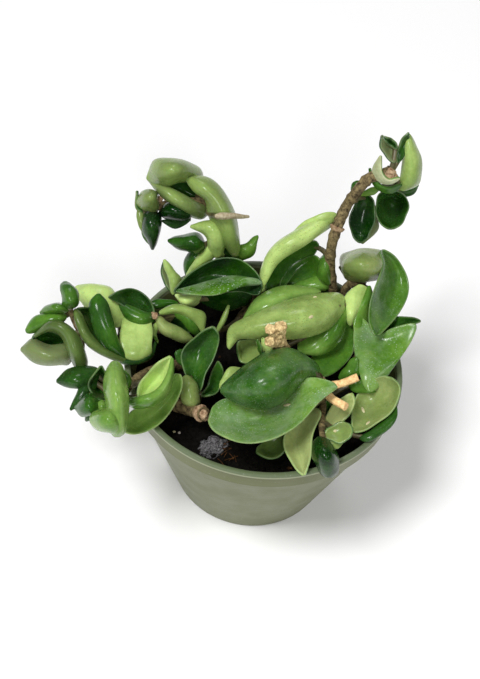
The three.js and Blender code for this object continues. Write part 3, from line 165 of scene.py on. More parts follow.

# Each vine: the colour slot of its leaves, the stem's radius at its foot and at its end, its stem
# and cut sticks, then its leaves. Every place is a column and a row of the photo with a height in
# millimetres above the ground. A leaf names the side that the photo shows, how fresh its green is
# from 0 to 1, its base, the lines across it (left edge, middle, right edge) and its tip. That green
# number is partly painted shade and light: lower on leaves that lie in shadow, higher on hollow
# leaves that the lamps leave in shade.
VINES = {
    "front_vine": {
        "slot": "leaf_mid",
        "girth": (2.2, 1.6),
        "stem": [(326, 398, 56), (322, 388, 66), (318, 377, 77)],
        "sticks": [
            [(320, 383, 71), (330, 397, 80), (346, 407, 82)],
            [(322, 386, 72), (340, 384, 75), (358, 377, 78)],
        ],
        "leaves": {
            "dome": ("upper", 0.34, [(319, 373, 84),
                ((301, 384, 82), (304, 370, 90), (311, 358, 86)),
                ((284, 405, 79), (284, 376, 97), (293, 346, 88)),
                ((262, 413, 77), (263, 380, 98), (267, 348, 88)),
                ((240, 405, 79), (243, 385, 93), (247, 363, 86)), (219, 390, 84)]),
            "saucer": ("upper", 0.69, [(208, 414, 76),
                ((220, 436, 78), (226, 418, 74), (231, 396, 77)),
                ((245, 446, 81), (249, 424, 73), (252, 402, 75)),
                ((277, 441, 83), (272, 420, 74), (270, 398, 75)),
                ((304, 424, 85), (294, 407, 79), (284, 392, 80)),
                ((320, 400, 87), (311, 390, 86), (303, 375, 86)), (339, 385, 88)]),
            "flap": ("under", 0.8, [(242, 384, 72),
                ((233, 391, 76), (237, 380, 78), (243, 367, 76)),
                ((222, 391, 78), (226, 379, 80), (230, 366, 79)), (221, 383, 79)]),
            "low": ("olive", 0.35, [(290, 431, 67),
                ((284, 454, 64), (278, 444, 62), (270, 436, 64)),
                ((273, 460, 63), (267, 452, 61), (259, 445, 63)), (257, 454, 63)]),
        },
    },
    "centre_vine": {
        "slot": "leaf_pale",
        "girth": (2.4, 1.8),
        "stem": [(346, 350, 56), (350, 328, 70), (349, 306, 84)],
        "sticks": [],
        "leaves": {
            "boat": ("under", 0.7, [(346, 302, 86),
                ((329, 292, 84), (325, 312, 93), (329, 331, 82)),
                ((300, 294, 86), (296, 317, 95), (300, 342, 82)),
                ((266, 308, 86), (266, 324, 91), (268, 340, 82)),
                ((241, 320, 84), (240, 329, 87), (243, 338, 81)),
                ((228, 327, 83), (231, 334, 84), (236, 341, 80)), (228, 349, 78)]),
            "lip": ("upper", 0.63, [(346, 303, 85),
                ((348, 318, 78), (341, 317, 84), (330, 308, 81)),
                ((343, 337, 74), (331, 335, 82), (314, 322, 78)),
                ((326, 355, 72), (317, 348, 77), (301, 334, 77)), (299, 352, 77)]),
            "under_lip": ("upper", 0.42, [(352, 314, 78),
                ((357, 334, 75), (347, 334, 73), (331, 330, 71)),
                ((354, 354, 71), (342, 352, 69), (321, 344, 70)),
                ((338, 371, 70), (328, 363, 70), (311, 353, 70)), (314, 379, 71)]),
            "wing": ("upper", 0.9, [(322, 293, 80),
                ((302, 304, 76), (300, 295, 84), (300, 286, 80)),
                ((276, 316, 76), (275, 302, 86), (277, 285, 80)),
                ((258, 323, 76), (257, 309, 83), (257, 297, 79)), (242, 322, 78)]),
            "tuck": ("under", 0.5, [(267, 345, 78),
                ((258, 365, 72), (256, 353, 73), (257, 338, 76)),
                ((243, 364, 70), (242, 352, 69), (239, 339, 74)), (237, 352, 71)]),
            "blade": ("upper", 0.4, [(266, 354, 80),
                ((263, 357, 79), (261, 353, 80), (259, 350, 81)),
                ((262, 349, 83), (259, 346, 83), (256, 344, 84)), (258, 339, 86)]),
            "chip": ("under", 0.8, [(271, 353, 82),
                ((267, 354, 80), (270, 350, 84), (272, 347, 84)),
                ((263, 346, 84), (266, 342, 87), (270, 341, 87)), (263, 338, 88)]),
            "shoot": ("under", 0.8, [(266, 299, 74),
                ((261, 292, 75), (263, 291, 77), (266, 290, 75)), (262, 281, 80)]),
        },
    },
    "stub": {
        "slot": "leaf_mid",
        "girth": (3.2, 2.1),
        "stem": [(288, 372, 56), (286, 358, 72), (282, 346, 84), (279, 338, 92)],
        "sticks": [
            [(279, 338, 92), (270, 329, 100)],
            [(280, 338, 92), (281, 325, 101)],
            [(281, 342, 90), (269, 341, 95)],
        ],
        "leaves": {},
    },
    "back_right_vine": {
        "slot": "leaf_mid",
        "girth": (1.9, 2.2),
        "stem": [(330, 322, 56), (333, 302, 69), (332, 284, 80), (330, 262, 92), (332, 244, 101),
            (337, 228, 107), (346, 207, 114), (355, 194, 120), (368, 179, 125), (380, 175, 127),
            (390, 172, 129)],
        "sticks": [],
        "leaves": {
            "sail": ("under", 0.98, [(338, 217, 102),
                ((319, 219, 103), (320, 226, 105), (324, 234, 100)),
                ((293, 231, 101), (296, 239, 104), (302, 248, 99)),
                ((272, 246, 95), (274, 253, 98), (279, 261, 93)),
                ((261, 266, 88), (264, 272, 90), (267, 279, 87)), (262, 292, 80)]),
            "sail_back": ("under", 0.8, [(338, 216, 106),
                ((324, 213, 107), (320, 220, 105), (319, 229, 101)),
                ((308, 220, 103), (303, 227, 101), (302, 234, 98)), (292, 234, 98)]),
            "sail_inner": ("upper", 0.35, [(318, 242, 95),
                ((309, 261, 86), (302, 253, 88), (296, 245, 95)),
                ((295, 273, 82), (285, 264, 84), (276, 256, 92)),
                ((285, 289, 76), (275, 283, 77), (266, 276, 83)), (268, 294, 76)]),
            "leaf_a": ("upper", 0.4, [(322, 264, 88),
                ((317, 279, 80), (311, 268, 82), (310, 255, 89)),
                ((302, 284, 77), (297, 276, 78), (294, 263, 85)),
                ((290, 290, 75), (286, 284, 75), (282, 276, 80)), (279, 292, 75)]),
            "leaf_b": ("upper", 0.5, [(328, 284, 82),
                ((333, 274, 83), (325, 274, 89), (317, 275, 84)),
                ((332, 262, 88), (326, 262, 93), (319, 262, 88)), (325, 255, 91)]),
            "leaf_c": ("upper", 0.6, [(332, 283, 80),
                ((321, 292, 77), (319, 284, 81), (321, 275, 80)),
                ((305, 291, 75), (304, 286, 79), (304, 279, 78)), (291, 288, 76)]),
            "crescent": ("cream", 0.6, [(400, 178, 129),
                ((392, 184, 125), (391, 182, 127), (390, 180, 129)),
                ((380, 183, 125), (382, 179, 128), (385, 176, 130)),
                ((371, 172, 127), (376, 170, 130), (382, 169, 132)), (382, 155, 134)]),
            "shield": ("under", 0.62, [(402, 190, 119),
                ((423, 182, 119), (412, 182, 124), (400, 178, 122)),
                ((422, 160, 127), (411, 161, 131), (400, 163, 127)),
                ((416, 146, 133), (410, 147, 136), (405, 149, 132)), (409, 133, 139)]),
            "shield_back": ("upper", 0.2, [(396, 189, 115),
                ((402, 197, 111), (404, 193, 112), (405, 189, 114)),
                ((413, 195, 110), (413, 191, 112), (412, 187, 114)), (418, 186, 114)]),
            "bud_left": ("under", 0.12, [(396, 161, 131),
                ((388, 158, 132), (389, 151, 131), (394, 147, 133)),
                ((381, 150, 134), (383, 143, 135), (388, 142, 136)), (382, 136, 138)]),
            "bud_right": ("upper", 0.08, [(398, 162, 131),
                ((398, 150, 134), (401, 152, 133), (406, 153, 133)),
                ((401, 141, 138), (404, 142, 136), (409, 143, 136)), (409, 133, 141)]),
            "ring": ("upper", 0.18, [(391, 190, 116),
                ((408, 199, 112), (391, 200, 104), (376, 199, 113)),
                ((410, 209, 109), (392, 210, 101), (374, 209, 110)),
                ((406, 219, 106), (391, 220, 102), (378, 219, 107)), (391, 229, 104)]),
            "drop": ("upper", 0.0, [(366, 194, 114),
                ((375, 206, 111), (365, 205, 108), (354, 204, 110)),
                ((376, 220, 107), (362, 222, 103), (347, 220, 106)),
                ((370, 233, 102), (361, 234, 99), (352, 233, 101)), (361, 242, 98)]),
            "scrap": ("upper", 0.75, [(379, 187, 118),
                ((374, 194, 115), (371, 191, 117), (369, 189, 117)), (362, 195, 114)]),
            "crescent_low": ("upper", 0.35, [(402, 184, 122),
                ((393, 193, 119), (391, 190, 121), (390, 187, 123)),
                ((380, 191, 119), (379, 188, 122), (380, 184, 124)),
                ((371, 180, 124), (372, 178, 125), (374, 176, 126)), (370, 168, 127)]),
            "bud_inner": ("upper", 0.1, [(397, 148, 135),
                ((391, 146, 135), (392, 143, 134), (393, 140, 137)),
                ((386, 142, 137), (387, 140, 136), (388, 138, 138)), (383, 137, 138)]),
            "drop_back": ("under", 0.05, [(372, 200, 108),
                ((376, 213, 103), (373, 213, 104), (370, 213, 104)),
                ((379, 228, 99), (374, 229, 100), (369, 229, 100)), (362, 243, 96)]),
            "peep": ("upper", 0.2, [(362, 184, 116),
                ((355, 190, 114), (355, 186, 115), (356, 181, 116)), (352, 189, 113)]),
        },
    },
    "right_vine": {
        "slot": "leaf_mid",
        "girth": (2.0, 1.5),
        "stem": [(335, 330, 56), (342, 302, 69), (347, 287, 78), (357, 283, 82), (370, 296, 78),
            (376, 322, 72), (377, 338, 71)],
        "sticks": [],
        "leaves": {
            "knob": ("olive", 0.78, [(340, 267, 84),
                ((349, 282, 79), (345, 266, 93), (345, 253, 86)),
                ((362, 283, 80), (361, 266, 100), (360, 248, 90)),
                ((376, 282, 82), (376, 266, 97), (377, 249, 90)), (391, 265, 85)]),
            "tongue": ("upper", 0.5, [(381, 250, 94),
                ((400, 261, 88), (392, 263, 86), (383, 262, 95)),
                ((409, 277, 84), (394, 278, 82), (376, 280, 94)),
                ((410, 294, 81), (391, 296, 79), (370, 297, 90)),
                ((400, 313, 79), (385, 316, 78), (368, 315, 86)), (376, 337, 83)]),
            "saddle": ("upper", 0.67, [(378, 334, 78),
                ((421, 321, 86), (381, 343, 76), (356, 312, 83)),
                ((412, 343, 80), (380, 352, 76), (351, 335, 79)),
                ((400, 361, 76), (375, 365, 77), (355, 360, 76)),
                ((384, 382, 73), (371, 380, 75), (361, 380, 74)), (370, 393, 72)]),
            "ear": ("under", 0.8, [(351, 325, 79),
                ((347, 317, 82), (352, 315, 84), (358, 313, 80)),
                ((345, 306, 84), (354, 306, 85), (363, 305, 81)),
                ((343, 297, 84), (356, 292, 87), (371, 292, 84)), (361, 285, 88)]),
            "collar": ("upper", 0.62, [(366, 347, 74),
                ((372, 328, 73), (362, 326, 79), (352, 326, 80)),
                ((373, 308, 78), (364, 308, 83), (355, 312, 82)),
                ((373, 297, 82), (368, 297, 86), (361, 299, 83)), (369, 286, 87)]),
            "shadow": ("upper", 0.2, [(379, 336, 75),
                ((396, 332, 77), (394, 325, 75), (392, 317, 77)),
                ((408, 327, 80), (407, 322, 78), (406, 317, 80)), (420, 321, 84)]),
            "under_saddle": ("upper", 0.5, [(349, 384, 73),
                ((356, 393, 70), (357, 386, 73), (357, 379, 75)),
                ((368, 394, 70), (368, 388, 71), (366, 380, 73)), (377, 392, 70)]),
            "spur": ("upper", 0.5, [(340, 378, 71),
                ((350, 380, 71), (348, 373, 75), (346, 366, 74)),
                ((359, 377, 72), (355, 369, 76), (350, 360, 76)), (357, 358, 78)]),
        },
    },
    "front_right_vine": {
        "slot": "leaf_pale",
        "girth": (1.5, 1.1),
        "stem": [(330, 392, 57), (324, 402, 66), (322, 416, 72), (322, 430, 75), (323, 439, 76)],
        "sticks": [],
        "leaves": {
            "shell": ("olive", 0.73, [(390, 377, 78),
                ((371, 384, 73), (388, 391, 72), (402, 392, 78)),
                ((356, 392, 70), (374, 404, 66), (394, 411, 75)),
                ((352, 410, 70), (363, 417, 66), (379, 424, 72)), (353, 433, 70)]),
            "rim_leaf": ("upper", 0.2, [(360, 438, 68),
                ((370, 441, 68), (371, 435, 70), (371, 430, 68)),
                ((386, 432, 69), (384, 427, 71), (382, 422, 68)),
                ((396, 420, 71), (394, 416, 72), (391, 411, 70)), (396, 406, 73)]),
            # Painted light: the fan's green is set lighter against the shade in its hollow.
            "fan": ("olive", 1.0, [(324, 431, 70),
                ((338, 425, 70), (334, 419, 69), (328, 411, 71)),
                ((350, 416, 72), (343, 410, 71), (335, 401, 73)),
                ((355, 404, 75), (350, 401, 74), (344, 396, 75)), (352, 393, 76)]),
            "chip_top": ("under", 0.45, [(324, 435, 75),
                ((330, 441, 75), (331, 434, 74), (332, 426, 77)),
                ((340, 444, 76), (341, 432, 75), (340, 420, 79)),
                ((348, 440, 77), (348, 431, 77), (347, 422, 79)), (353, 430, 79)]),
            "chip_low": ("under", 0.5, [(325, 437, 73),
                ((329, 447, 71), (331, 443, 73), (333, 440, 73)),
                ((338, 450, 71), (338, 445, 72), (339, 441, 73)), (344, 442, 72)]),
            "bean": ("upper", 0.06, [(320, 437, 76),
                ((331, 445, 74), (322, 446, 80), (311, 448, 75)),
                ((339, 457, 71), (327, 457, 81), (312, 459, 72)),
                ((339, 468, 68), (328, 468, 75), (318, 468, 69)), (328, 478, 67)]),
            # Painted light: the trough's green is set lighter against the shade its own curled edges cast.
            "trough": ("olive", 1.0, [(313, 407, 72),
                ((290, 424, 71), (304, 421, 69), (320, 420, 76)),
                ((281, 442, 71), (297, 441, 66), (312, 440, 74)),
                ((289, 463, 69), (301, 459, 66), (312, 457, 73)), (305, 474, 68)]),
            # Painted shade: a dark leaf in the shadowed hollow behind the fan.
            "fan_back": ("upper", 0.25, [(323, 430, 67),
                ((336, 418, 67), (328, 416, 65), (320, 414, 67)), (328, 400, 69)]),
        },
    },
    "inner_vine": {
        "slot": "leaf_deep",
        "girth": (1.6, 1.3),
        "stem": [(198, 398, 57), (196, 392, 66), (190, 382, 72)],
        "sticks": [],
        "leaves": {
            "paddle": ("upper", 0.2, [(198, 392, 70),
                ((186, 376, 73), (195, 374, 71), (205, 376, 75)),
                ((179, 360, 77), (197, 357, 73), (215, 360, 79)),
                ((184, 346, 81), (202, 343, 77), (220, 344, 83)),
                ((197, 334, 85), (209, 333, 83), (219, 336, 86)), (213, 327, 88)]),
            "paddle_low": ("upper", 0.3, [(203, 396, 66),
                ((206, 388, 66), (211, 389, 64), (220, 391, 68)),
                ((212, 372, 71), (216, 375, 69), (224, 373, 73)), (218, 362, 76)]),
            "tab": ("olive", 0.7, [(186, 376, 75),
                ((198, 387, 73), (189, 387, 76), (180, 389, 73)),
                ((201, 400, 70), (191, 401, 73), (181, 400, 70)), (194, 408, 68)]),
            "chip": ("upper", 0.3, [(188, 366, 72),
                ((184, 356, 74), (180, 358, 75), (176, 361, 73)),
                ((184, 350, 76), (179, 352, 77), (174, 356, 76)), (176, 352, 77)]),
        },
    },
    "left_root_vine": {
        "slot": "leaf_mid",
        "girth": (1.6, 1.4),
        "stem": [(200, 350, 56), (188, 340, 62), (176, 332, 66), (162, 321, 74)],
        "sticks": [],
        "leaves": {
            "crest": ("under", 0.7, [(159, 313, 80),
                ((176, 313, 79), (175, 308, 83), (174, 305, 81)),
                ((190, 320, 76), (190, 313, 80), (190, 308, 79)),
                ((200, 329, 73), (203, 320, 76), (205, 312, 76)), (203, 333, 72)]),
            "scoop": ("olive", 0.9, [(157, 317, 80),
                ((162, 333, 73), (165, 328, 77), (168, 322, 75)),
                ((177, 341, 69), (179, 334, 74), (182, 328, 72)), (194, 341, 69)]),
            "sliver": ("upper", 0.25, [(178, 303, 76),
                ((168, 306, 74), (167, 303, 76), (167, 300, 76)),
                ((158, 309, 74), (157, 305, 76), (158, 300, 76)), (150, 304, 76)]),
            "leaf_d": ("under", 0.6, [(160, 322, 78),
                ((156, 335, 72), (154, 331, 74), (153, 327, 75)), (158, 343, 70)]),
            "tendril": ("under", 0.5, [(196, 345, 66),
                ((197, 340, 66), (200, 341, 68), (203, 343, 66)), (206, 350, 64)]),
            "hollow": ("upper", 0.12, [(160, 319, 76),
                ((168, 326, 72), (171, 319, 68), (174, 313, 72)),
                ((182, 332, 68), (186, 324, 66), (190, 317, 70)), (198, 331, 68)]),
            "fold": ("upper", 0.55, [(175, 313, 80),
                ((181, 321, 75), (184, 318, 78), (187, 316, 77)),
                ((191, 333, 71), (194, 328, 74), (198, 325, 73)), (200, 335, 70)]),
        },
    },
    "left_vine": {
        "slot": "leaf_pale",
        "girth": (2.0, 1.2),
        "stem": [(190, 342, 56), (176, 336, 64), (160, 329, 68), (140, 333, 68), (118, 340, 68),
            (97, 342, 70), (84, 335, 76), (76, 323, 82), (69, 308, 89)],
        "sticks": [],
        "leaves": {
            "tip_a": ("upper", 0.35, [(69, 309, 91), ((79, 303, 91), (71, 302, 97), (62, 303, 92)),
                ((78, 293, 93), (70, 293, 98), (61, 293, 94)),
                ((72, 286, 95), (67, 287, 97), (60, 288, 95)), (65, 282, 95)]),
            "tip_b": ("upper", 0.45, [(69, 309, 90), ((59, 314, 87), (58, 308, 93), (58, 303, 88)),
                ((49, 313, 86), (49, 308, 90), (49, 304, 87)), (41, 313, 84)]),
            "hook_top": ("upper", 0.55, [(66, 316, 86),
                ((54, 313, 86), (55, 319, 88), (57, 326, 84)),
                ((38, 315, 84), (40, 322, 86), (43, 330, 81)), (26, 332, 80)]),
            "arch": ("olive", 0.22, [(80, 371, 74), ((89, 361, 76), (81, 360, 83), (72, 361, 78)),
                ((83, 346, 81), (74, 347, 88), (65, 349, 82)),
                ((76, 332, 86), (70, 336, 90), (63, 340, 84)),
                ((64, 321, 89), (60, 326, 92), (57, 332, 86)),
                ((48, 320, 88), (47, 325, 90), (46, 331, 85)), (34, 338, 80)]),
            "jaw": ("under", 0.15, [(72, 358, 72), ((66, 342, 76), (65, 354, 79), (64, 365, 71)),
                ((48, 346, 76), (47, 356, 80), (47, 366, 71)),
                ((33, 338, 77), (32, 350, 79), (32, 361, 72)), (21, 349, 75)]),
            "taco": ("olive", 0.35, [(129, 360, 72),
                ((114, 361, 73), (114, 357, 76), (114, 354, 75)),
                ((98, 353, 77), (99, 349, 80), (101, 345, 79)),
                ((84, 341, 82), (86, 337, 85), (90, 332, 83)),
                ((76, 323, 87), (79, 320, 89), (83, 316, 87)), (75, 309, 90)]),
            "blade": ("upper", 0.3, [(127, 358, 73),
                ((105, 350, 75), (112, 346, 80), (118, 342, 79)),
                ((93, 330, 82), (103, 325, 87), (114, 321, 85)),
                ((88, 308, 88), (98, 307, 91), (109, 304, 89)), (98, 293, 93)]),
            "hood": ("under", 0.92, [(122, 326, 74),
                ((128, 312, 77), (112, 316, 80), (95, 324, 76)),
                ((120, 300, 79), (103, 304, 85), (86, 314, 79)),
                ((111, 288, 80), (97, 289, 86), (78, 300, 80)), (76, 286, 80)]),
            "cap": ("upper", 0.15, [(154, 315, 80),
                ((143, 314, 81), (144, 305, 76), (147, 296, 81)),
                ((128, 309, 83), (130, 300, 79), (132, 287, 84)),
                ((117, 303, 84), (119, 297, 84), (121, 290, 86)), (108, 297, 88)]),
            "cap_under": ("upper", 0.35, [(155, 317, 78),
                ((147, 311, 80), (145, 318, 82), (145, 326, 77)),
                ((131, 306, 81), (131, 315, 82), (130, 323, 77)), (119, 304, 82)]),
            "cheek": ("under", 0.77, [(137, 314, 76),
                ((121, 321, 78), (137, 321, 79), (152, 321, 78)),
                ((118, 337, 78), (136, 338, 78), (155, 336, 77)),
                ((122, 353, 75), (138, 354, 75), (152, 349, 75)), (140, 360, 71)]),
            "hook_hollow": ("upper", 0.1, [(66, 345, 77),
                ((60, 334, 80), (59, 340, 75), (59, 347, 77)),
                ((48, 330, 81), (47, 338, 74), (46, 349, 77)),
                ((38, 331, 81), (38, 338, 76), (38, 345, 77)), (31, 342, 78)]),
            "taco_inside": ("upper", 0.25, [(130, 358, 70),
                ((113, 357, 74), (117, 350, 70), (124, 343, 70)),
                ((97, 346, 79), (103, 338, 73), (110, 330, 74)),
                ((86, 328, 84), (93, 321, 77), (101, 313, 80)),
                ((80, 315, 87), (85, 312, 82), (92, 308, 85)), (77, 309, 90)]),
            "cheek_rim": ("upper", 0.2, [(111, 350, 74),
                ((121, 364, 70), (121, 360, 73), (120, 356, 71)),
                ((138, 364, 69), (138, 361, 72), (137, 358, 71)),
                ((152, 357, 70), (150, 355, 73), (148, 352, 72)), (156, 342, 73)]),
        },
    },
    "left_low_vine": {
        "slot": "leaf_deep",
        "girth": (2.2, 1.4),
        "stem": [(180, 366, 56), (165, 366, 62), (148, 372, 67), (133, 382, 71), (122, 395, 75),
            (108, 404, 77)],
        "sticks": [],
        "leaves": {
            "banana": ("upper", 0.83, [(117, 436, 80),
                ((127, 429, 82), (119, 429, 88), (110, 430, 83)),
                ((129, 414, 84), (119, 413, 93), (107, 411, 87)),
                ((129, 397, 88), (117, 393, 100), (102, 389, 89)),
                ((125, 374, 91), (115, 373, 98), (105, 374, 91)), (115, 361, 94)]),
            "heel": ("upper", 0.8, [(124, 425, 82),
                ((113, 408, 86), (114, 421, 93), (116, 436, 80)),
                ((100, 409, 84), (101, 420, 92), (102, 432, 80)), (90, 420, 82)]),
            # Painted light: the spoon's hollow face is set lighter against the shade inside it.
            "spoon": ("under", 1.0, [(140, 398, 84),
                ((154, 394, 85), (148, 388, 79), (140, 383, 86)),
                ((167, 378, 87), (159, 374, 84), (150, 369, 90)), (171, 356, 93)]),
            "spoon_rim": ("upper", 0.72, [(125, 401, 80),
                ((141, 396, 85), (141, 402, 88), (140, 409, 80)),
                ((157, 390, 86), (159, 396, 89), (161, 402, 80)),
                ((167, 377, 89), (170, 379, 91), (172, 384, 85)), (172, 357, 93)]),
            "gutter": ("upper", 0.9, [(178, 373, 86),
                ((183, 389, 80), (174, 388, 77), (166, 386, 85)),
                ((174, 408, 74), (165, 402, 70), (156, 396, 80)),
                ((158, 427, 71), (150, 416, 67), (143, 406, 78)),
                ((139, 435, 72), (136, 424, 69), (131, 409, 78)), (123, 431, 75)]),
            "bit": ("upper", 0.5, [(122, 392, 79),
                ((130, 386, 80), (127, 385, 84), (122, 384, 80)),
                ((130, 377, 82), (127, 376, 85), (122, 376, 82)), (124, 370, 84)]),
            "cup": ("upper", 0.1, [(105, 399, 78), ((92, 395, 80), (99, 390, 73), (111, 389, 78)),
                ((88, 383, 83), (97, 380, 75), (108, 379, 80)), (101, 366, 85)]),
            "fin_a": ("upper", 0.15, [(100, 374, 79),
                ((85, 390, 76), (84, 378, 81), (86, 365, 77)),
                ((72, 388, 76), (71, 378, 81), (71, 366, 77)), (57, 382, 76)]),
            "fin_b": ("upper", 0.15, [(97, 381, 78), ((91, 396, 75), (87, 388, 79), (83, 383, 76)),
                ((82, 404, 74), (79, 398, 77), (77, 396, 75)), (71, 410, 73)]),
            "pearl": ("upper", 0.25, [(101, 403, 79),
                ((97, 415, 76), (91, 405, 85), (89, 393, 79)),
                ((84, 417, 74), (83, 407, 82), (82, 397, 76)), (76, 408, 75)]),
            "pearl_low": ("upper", 0.2, [(96, 412, 76),
                ((92, 418, 73), (90, 416, 75), (88, 413, 74)), (86, 421, 71)]),
            "link": ("upper", 0.6, [(110, 409, 80),
                ((103, 412, 79), (102, 406, 82), (103, 400, 80)), (96, 406, 79)]),
        },
    },
    "back_left_vine": {
        "slot": "leaf_mid",
        "girth": (2.2, 1.3),
        "stem": [(234, 306, 56), (232, 284, 69), (230, 262, 80), (228, 240, 89), (223, 222, 96),
            (214, 207, 101), (201, 201, 103), (185, 202, 103), (170, 203, 102), (158, 207, 101),
            (150, 212, 100)],
        "sticks": [],
        "leaves": {
            "crown": ("under", 0.48, [(201, 178, 108),
                ((197, 166, 113), (192, 173, 118), (189, 181, 109)),
                ((178, 158, 118), (175, 170, 126), (174, 184, 111)),
                ((161, 158, 118), (160, 172, 121), (164, 188, 109)),
                ((153, 163, 115), (152, 176, 113), (157, 190, 107)), (148, 178, 110)]),
            "crown_low": ("under", 0.36, [(209, 212, 98),
                ((203, 205, 102), (201, 213, 101), (199, 220, 96)),
                ((192, 199, 107), (189, 208, 107), (185, 214, 100)),
                ((179, 192, 110), (175, 200, 111), (171, 204, 104)),
                ((167, 185, 111), (163, 190, 112), (159, 194, 107)), (150, 181, 109)]),
            "crown_inner": ("upper", 0.12, [(208, 201, 102),
                ((196, 206, 103), (194, 196, 102), (200, 184, 109)),
                ((180, 198, 105), (180, 188, 104), (186, 176, 111)), (164, 184, 108)]),
            "mantle": ("under", 0.52, [(236, 258, 87),
                ((240, 240, 95), (231, 240, 101), (221, 240, 96)),
                ((237, 216, 103), (224, 217, 111), (209, 220, 102)),
                ((228, 196, 109), (216, 198, 116), (206, 201, 108)),
                ((210, 178, 114), (203, 185, 119), (199, 196, 112)), (185, 177, 116)]),
            "beak": ("under", 0.72, [(217, 258, 88),
                ((226, 240, 95), (217, 241, 100), (208, 243, 94)),
                ((224, 223, 101), (213, 228, 105), (206, 236, 98)),
                ((208, 221, 103), (203, 225, 104), (199, 231, 100)), (190, 226, 100)]),
            "leaf_e": ("upper", 0.22, [(205, 246, 92),
                ((195, 254, 87), (195, 243, 97), (196, 232, 93)),
                ((182, 250, 89), (180, 242, 95), (180, 235, 92)), (168, 241, 93)]),
            "leaf_f": ("upper", 0.18, [(203, 247, 87),
                ((205, 260, 81), (196, 258, 86), (187, 254, 83)),
                ((199, 270, 77), (191, 268, 81), (184, 264, 79)), (187, 277, 76)]),
            "quill_a": ("under", 0.7, [(187, 277, 77),
                ((200, 270, 80), (197, 265, 85), (193, 261, 82)),
                ((214, 258, 86), (210, 251, 91), (205, 247, 89)), (218, 240, 95)]),
            "quill_b": ("under", 0.7, [(216, 262, 80),
                ((224, 258, 82), (222, 254, 86), (219, 253, 84)), (227, 246, 89)]),
            "leaf_g": ("upper", 0.2, [(232, 264, 81),
                ((221, 250, 87), (229, 248, 90), (237, 250, 86)),
                ((221, 238, 92), (227, 238, 94), (234, 240, 91)), (224, 229, 95)]),
            "leaf_h": ("upper", 0.55, [(234, 254, 86),
                ((243, 260, 83), (243, 252, 90), (241, 245, 90)),
                ((253, 256, 86), (252, 248, 91), (250, 240, 92)), (258, 236, 95)]),
            "knob": ("under", 0.4, [(158, 206, 104),
                ((156, 191, 108), (152, 200, 112), (150, 213, 100)),
                ((145, 190, 108), (144, 201, 110), (145, 210, 101)), (138, 200, 105)]),
            "knob_back": ("upper", 0.2, [(142, 213, 100),
                ((137, 206, 103), (138, 206, 102), (141, 205, 102)), (137, 191, 108)]),
            "strap": ("under", 0.25, [(140, 208, 101),
                ((144, 221, 97), (141, 221, 98), (137, 218, 98)),
                ((149, 236, 92), (145, 235, 93), (142, 233, 94)), (151, 247, 89)]),
            "dart": ("upper", 0.0, [(153, 210, 101),
                ((162, 220, 98), (152, 220, 103), (142, 218, 99)),
                ((161, 232, 94), (152, 233, 99), (143, 231, 95)),
                ((157, 241, 91), (152, 242, 94), (148, 240, 92)), (152, 249, 88)]),
            "glossy": ("upper", 0.03, [(190, 214, 103),
                ((181, 222, 97), (178, 212, 106), (178, 205, 104)),
                ((166, 220, 97), (167, 211, 105), (168, 203, 103)), (160, 212, 100)]),
            "glossy_low": ("upper", 0.05, [(190, 220, 99),
                ((176, 229, 94), (177, 224, 96), (178, 219, 97)), (161, 221, 96)]),
            "fang": ("under", 0.72, [(174, 294, 74),
                ((170, 284, 77), (176, 283, 79), (182, 279, 76)),
                ((166, 271, 80), (170, 272, 82), (175, 271, 80)), (165, 260, 85)]),
            "bract": ("dry", 0.5, [(216, 217, 114),
                ((223, 214, 113), (224, 216, 114), (223, 219, 112)),
                ((234, 215, 111), (235, 216, 112), (235, 218, 110)), (249, 217, 108)]),
            "fang_side": ("under", 0.1, [(173, 293, 73),
                ((165, 283, 77), (167, 282, 76), (170, 281, 76)),
                ((162, 271, 80), (164, 271, 79), (166, 271, 79)), (165, 261, 84)]),
        },
    },
    "bowl_vine": {
        "slot": "leaf_deep",
        "girth": (2.0, 1.6),
        "stem": [(238, 322, 56), (250, 306, 66), (257, 292, 76)],
        "sticks": [],
        "leaves": {
            "bowl": ("upper", 0.12, [(262, 292, 83),
                ((243, 292, 79), (249, 279, 81), (254, 268, 89)),
                ((218, 295, 80), (226, 274, 79), (240, 257, 92)),
                ((196, 294, 82), (202, 276, 78), (214, 258, 91)),
                ((181, 293, 83), (185, 283, 81), (192, 271, 87)), (174, 291, 84)]),
            # Painted shade: the keel is dark for the shadow under the bowl leaf.
            "keel": ("upper", 0.15, [(258, 292, 74),
                ((240, 288, 79), (242, 297, 76), (244, 308, 66)),
                ((215, 290, 78), (218, 300, 74), (222, 311, 65)), (200, 300, 70)]),
            "lime": ("under", 1.0, [(200, 299, 74),
                ((197, 294, 77), (191, 300, 79), (191, 308, 72)),
                ((181, 294, 77), (183, 301, 79), (186, 308, 72)), (176, 295, 76)]),
            "front": ("upper", 0.5, [(262, 283, 86),
                ((248, 277, 86), (245, 281, 87), (242, 286, 84)),
                ((230, 275, 84), (226, 284, 85), (221, 295, 85)),
                ((205, 282, 80), (202, 289, 82), (199, 296, 84)), (175, 291, 85)]),
            "shoot": ("under", 0.6, [(217, 332, 64),
                ((221, 320, 66), (223, 320, 68), (225, 321, 66)), (229, 305, 72)]),
        },
    },
    "root_stub": {
        "slot": "leaf_mid",
        "girth": (3.0, 2.2),
        "stem": [(186, 412, 52), (176, 398, 58), (168, 400, 62), (184, 408, 66), (204, 414, 72)],
        "sticks": [],
        "leaves": {},
    },
}

toward_eye = np.array([0, -math.cos(LOOK_DOWN), math.sin(LOOK_DOWN)])
picture_up = np.array([0, math.sin(LOOK_DOWN), math.cos(LOOK_DOWN)])
across_picture = np.array([1, 0, 0])
eye = AIM + EYE_DISTANCE * toward_eye


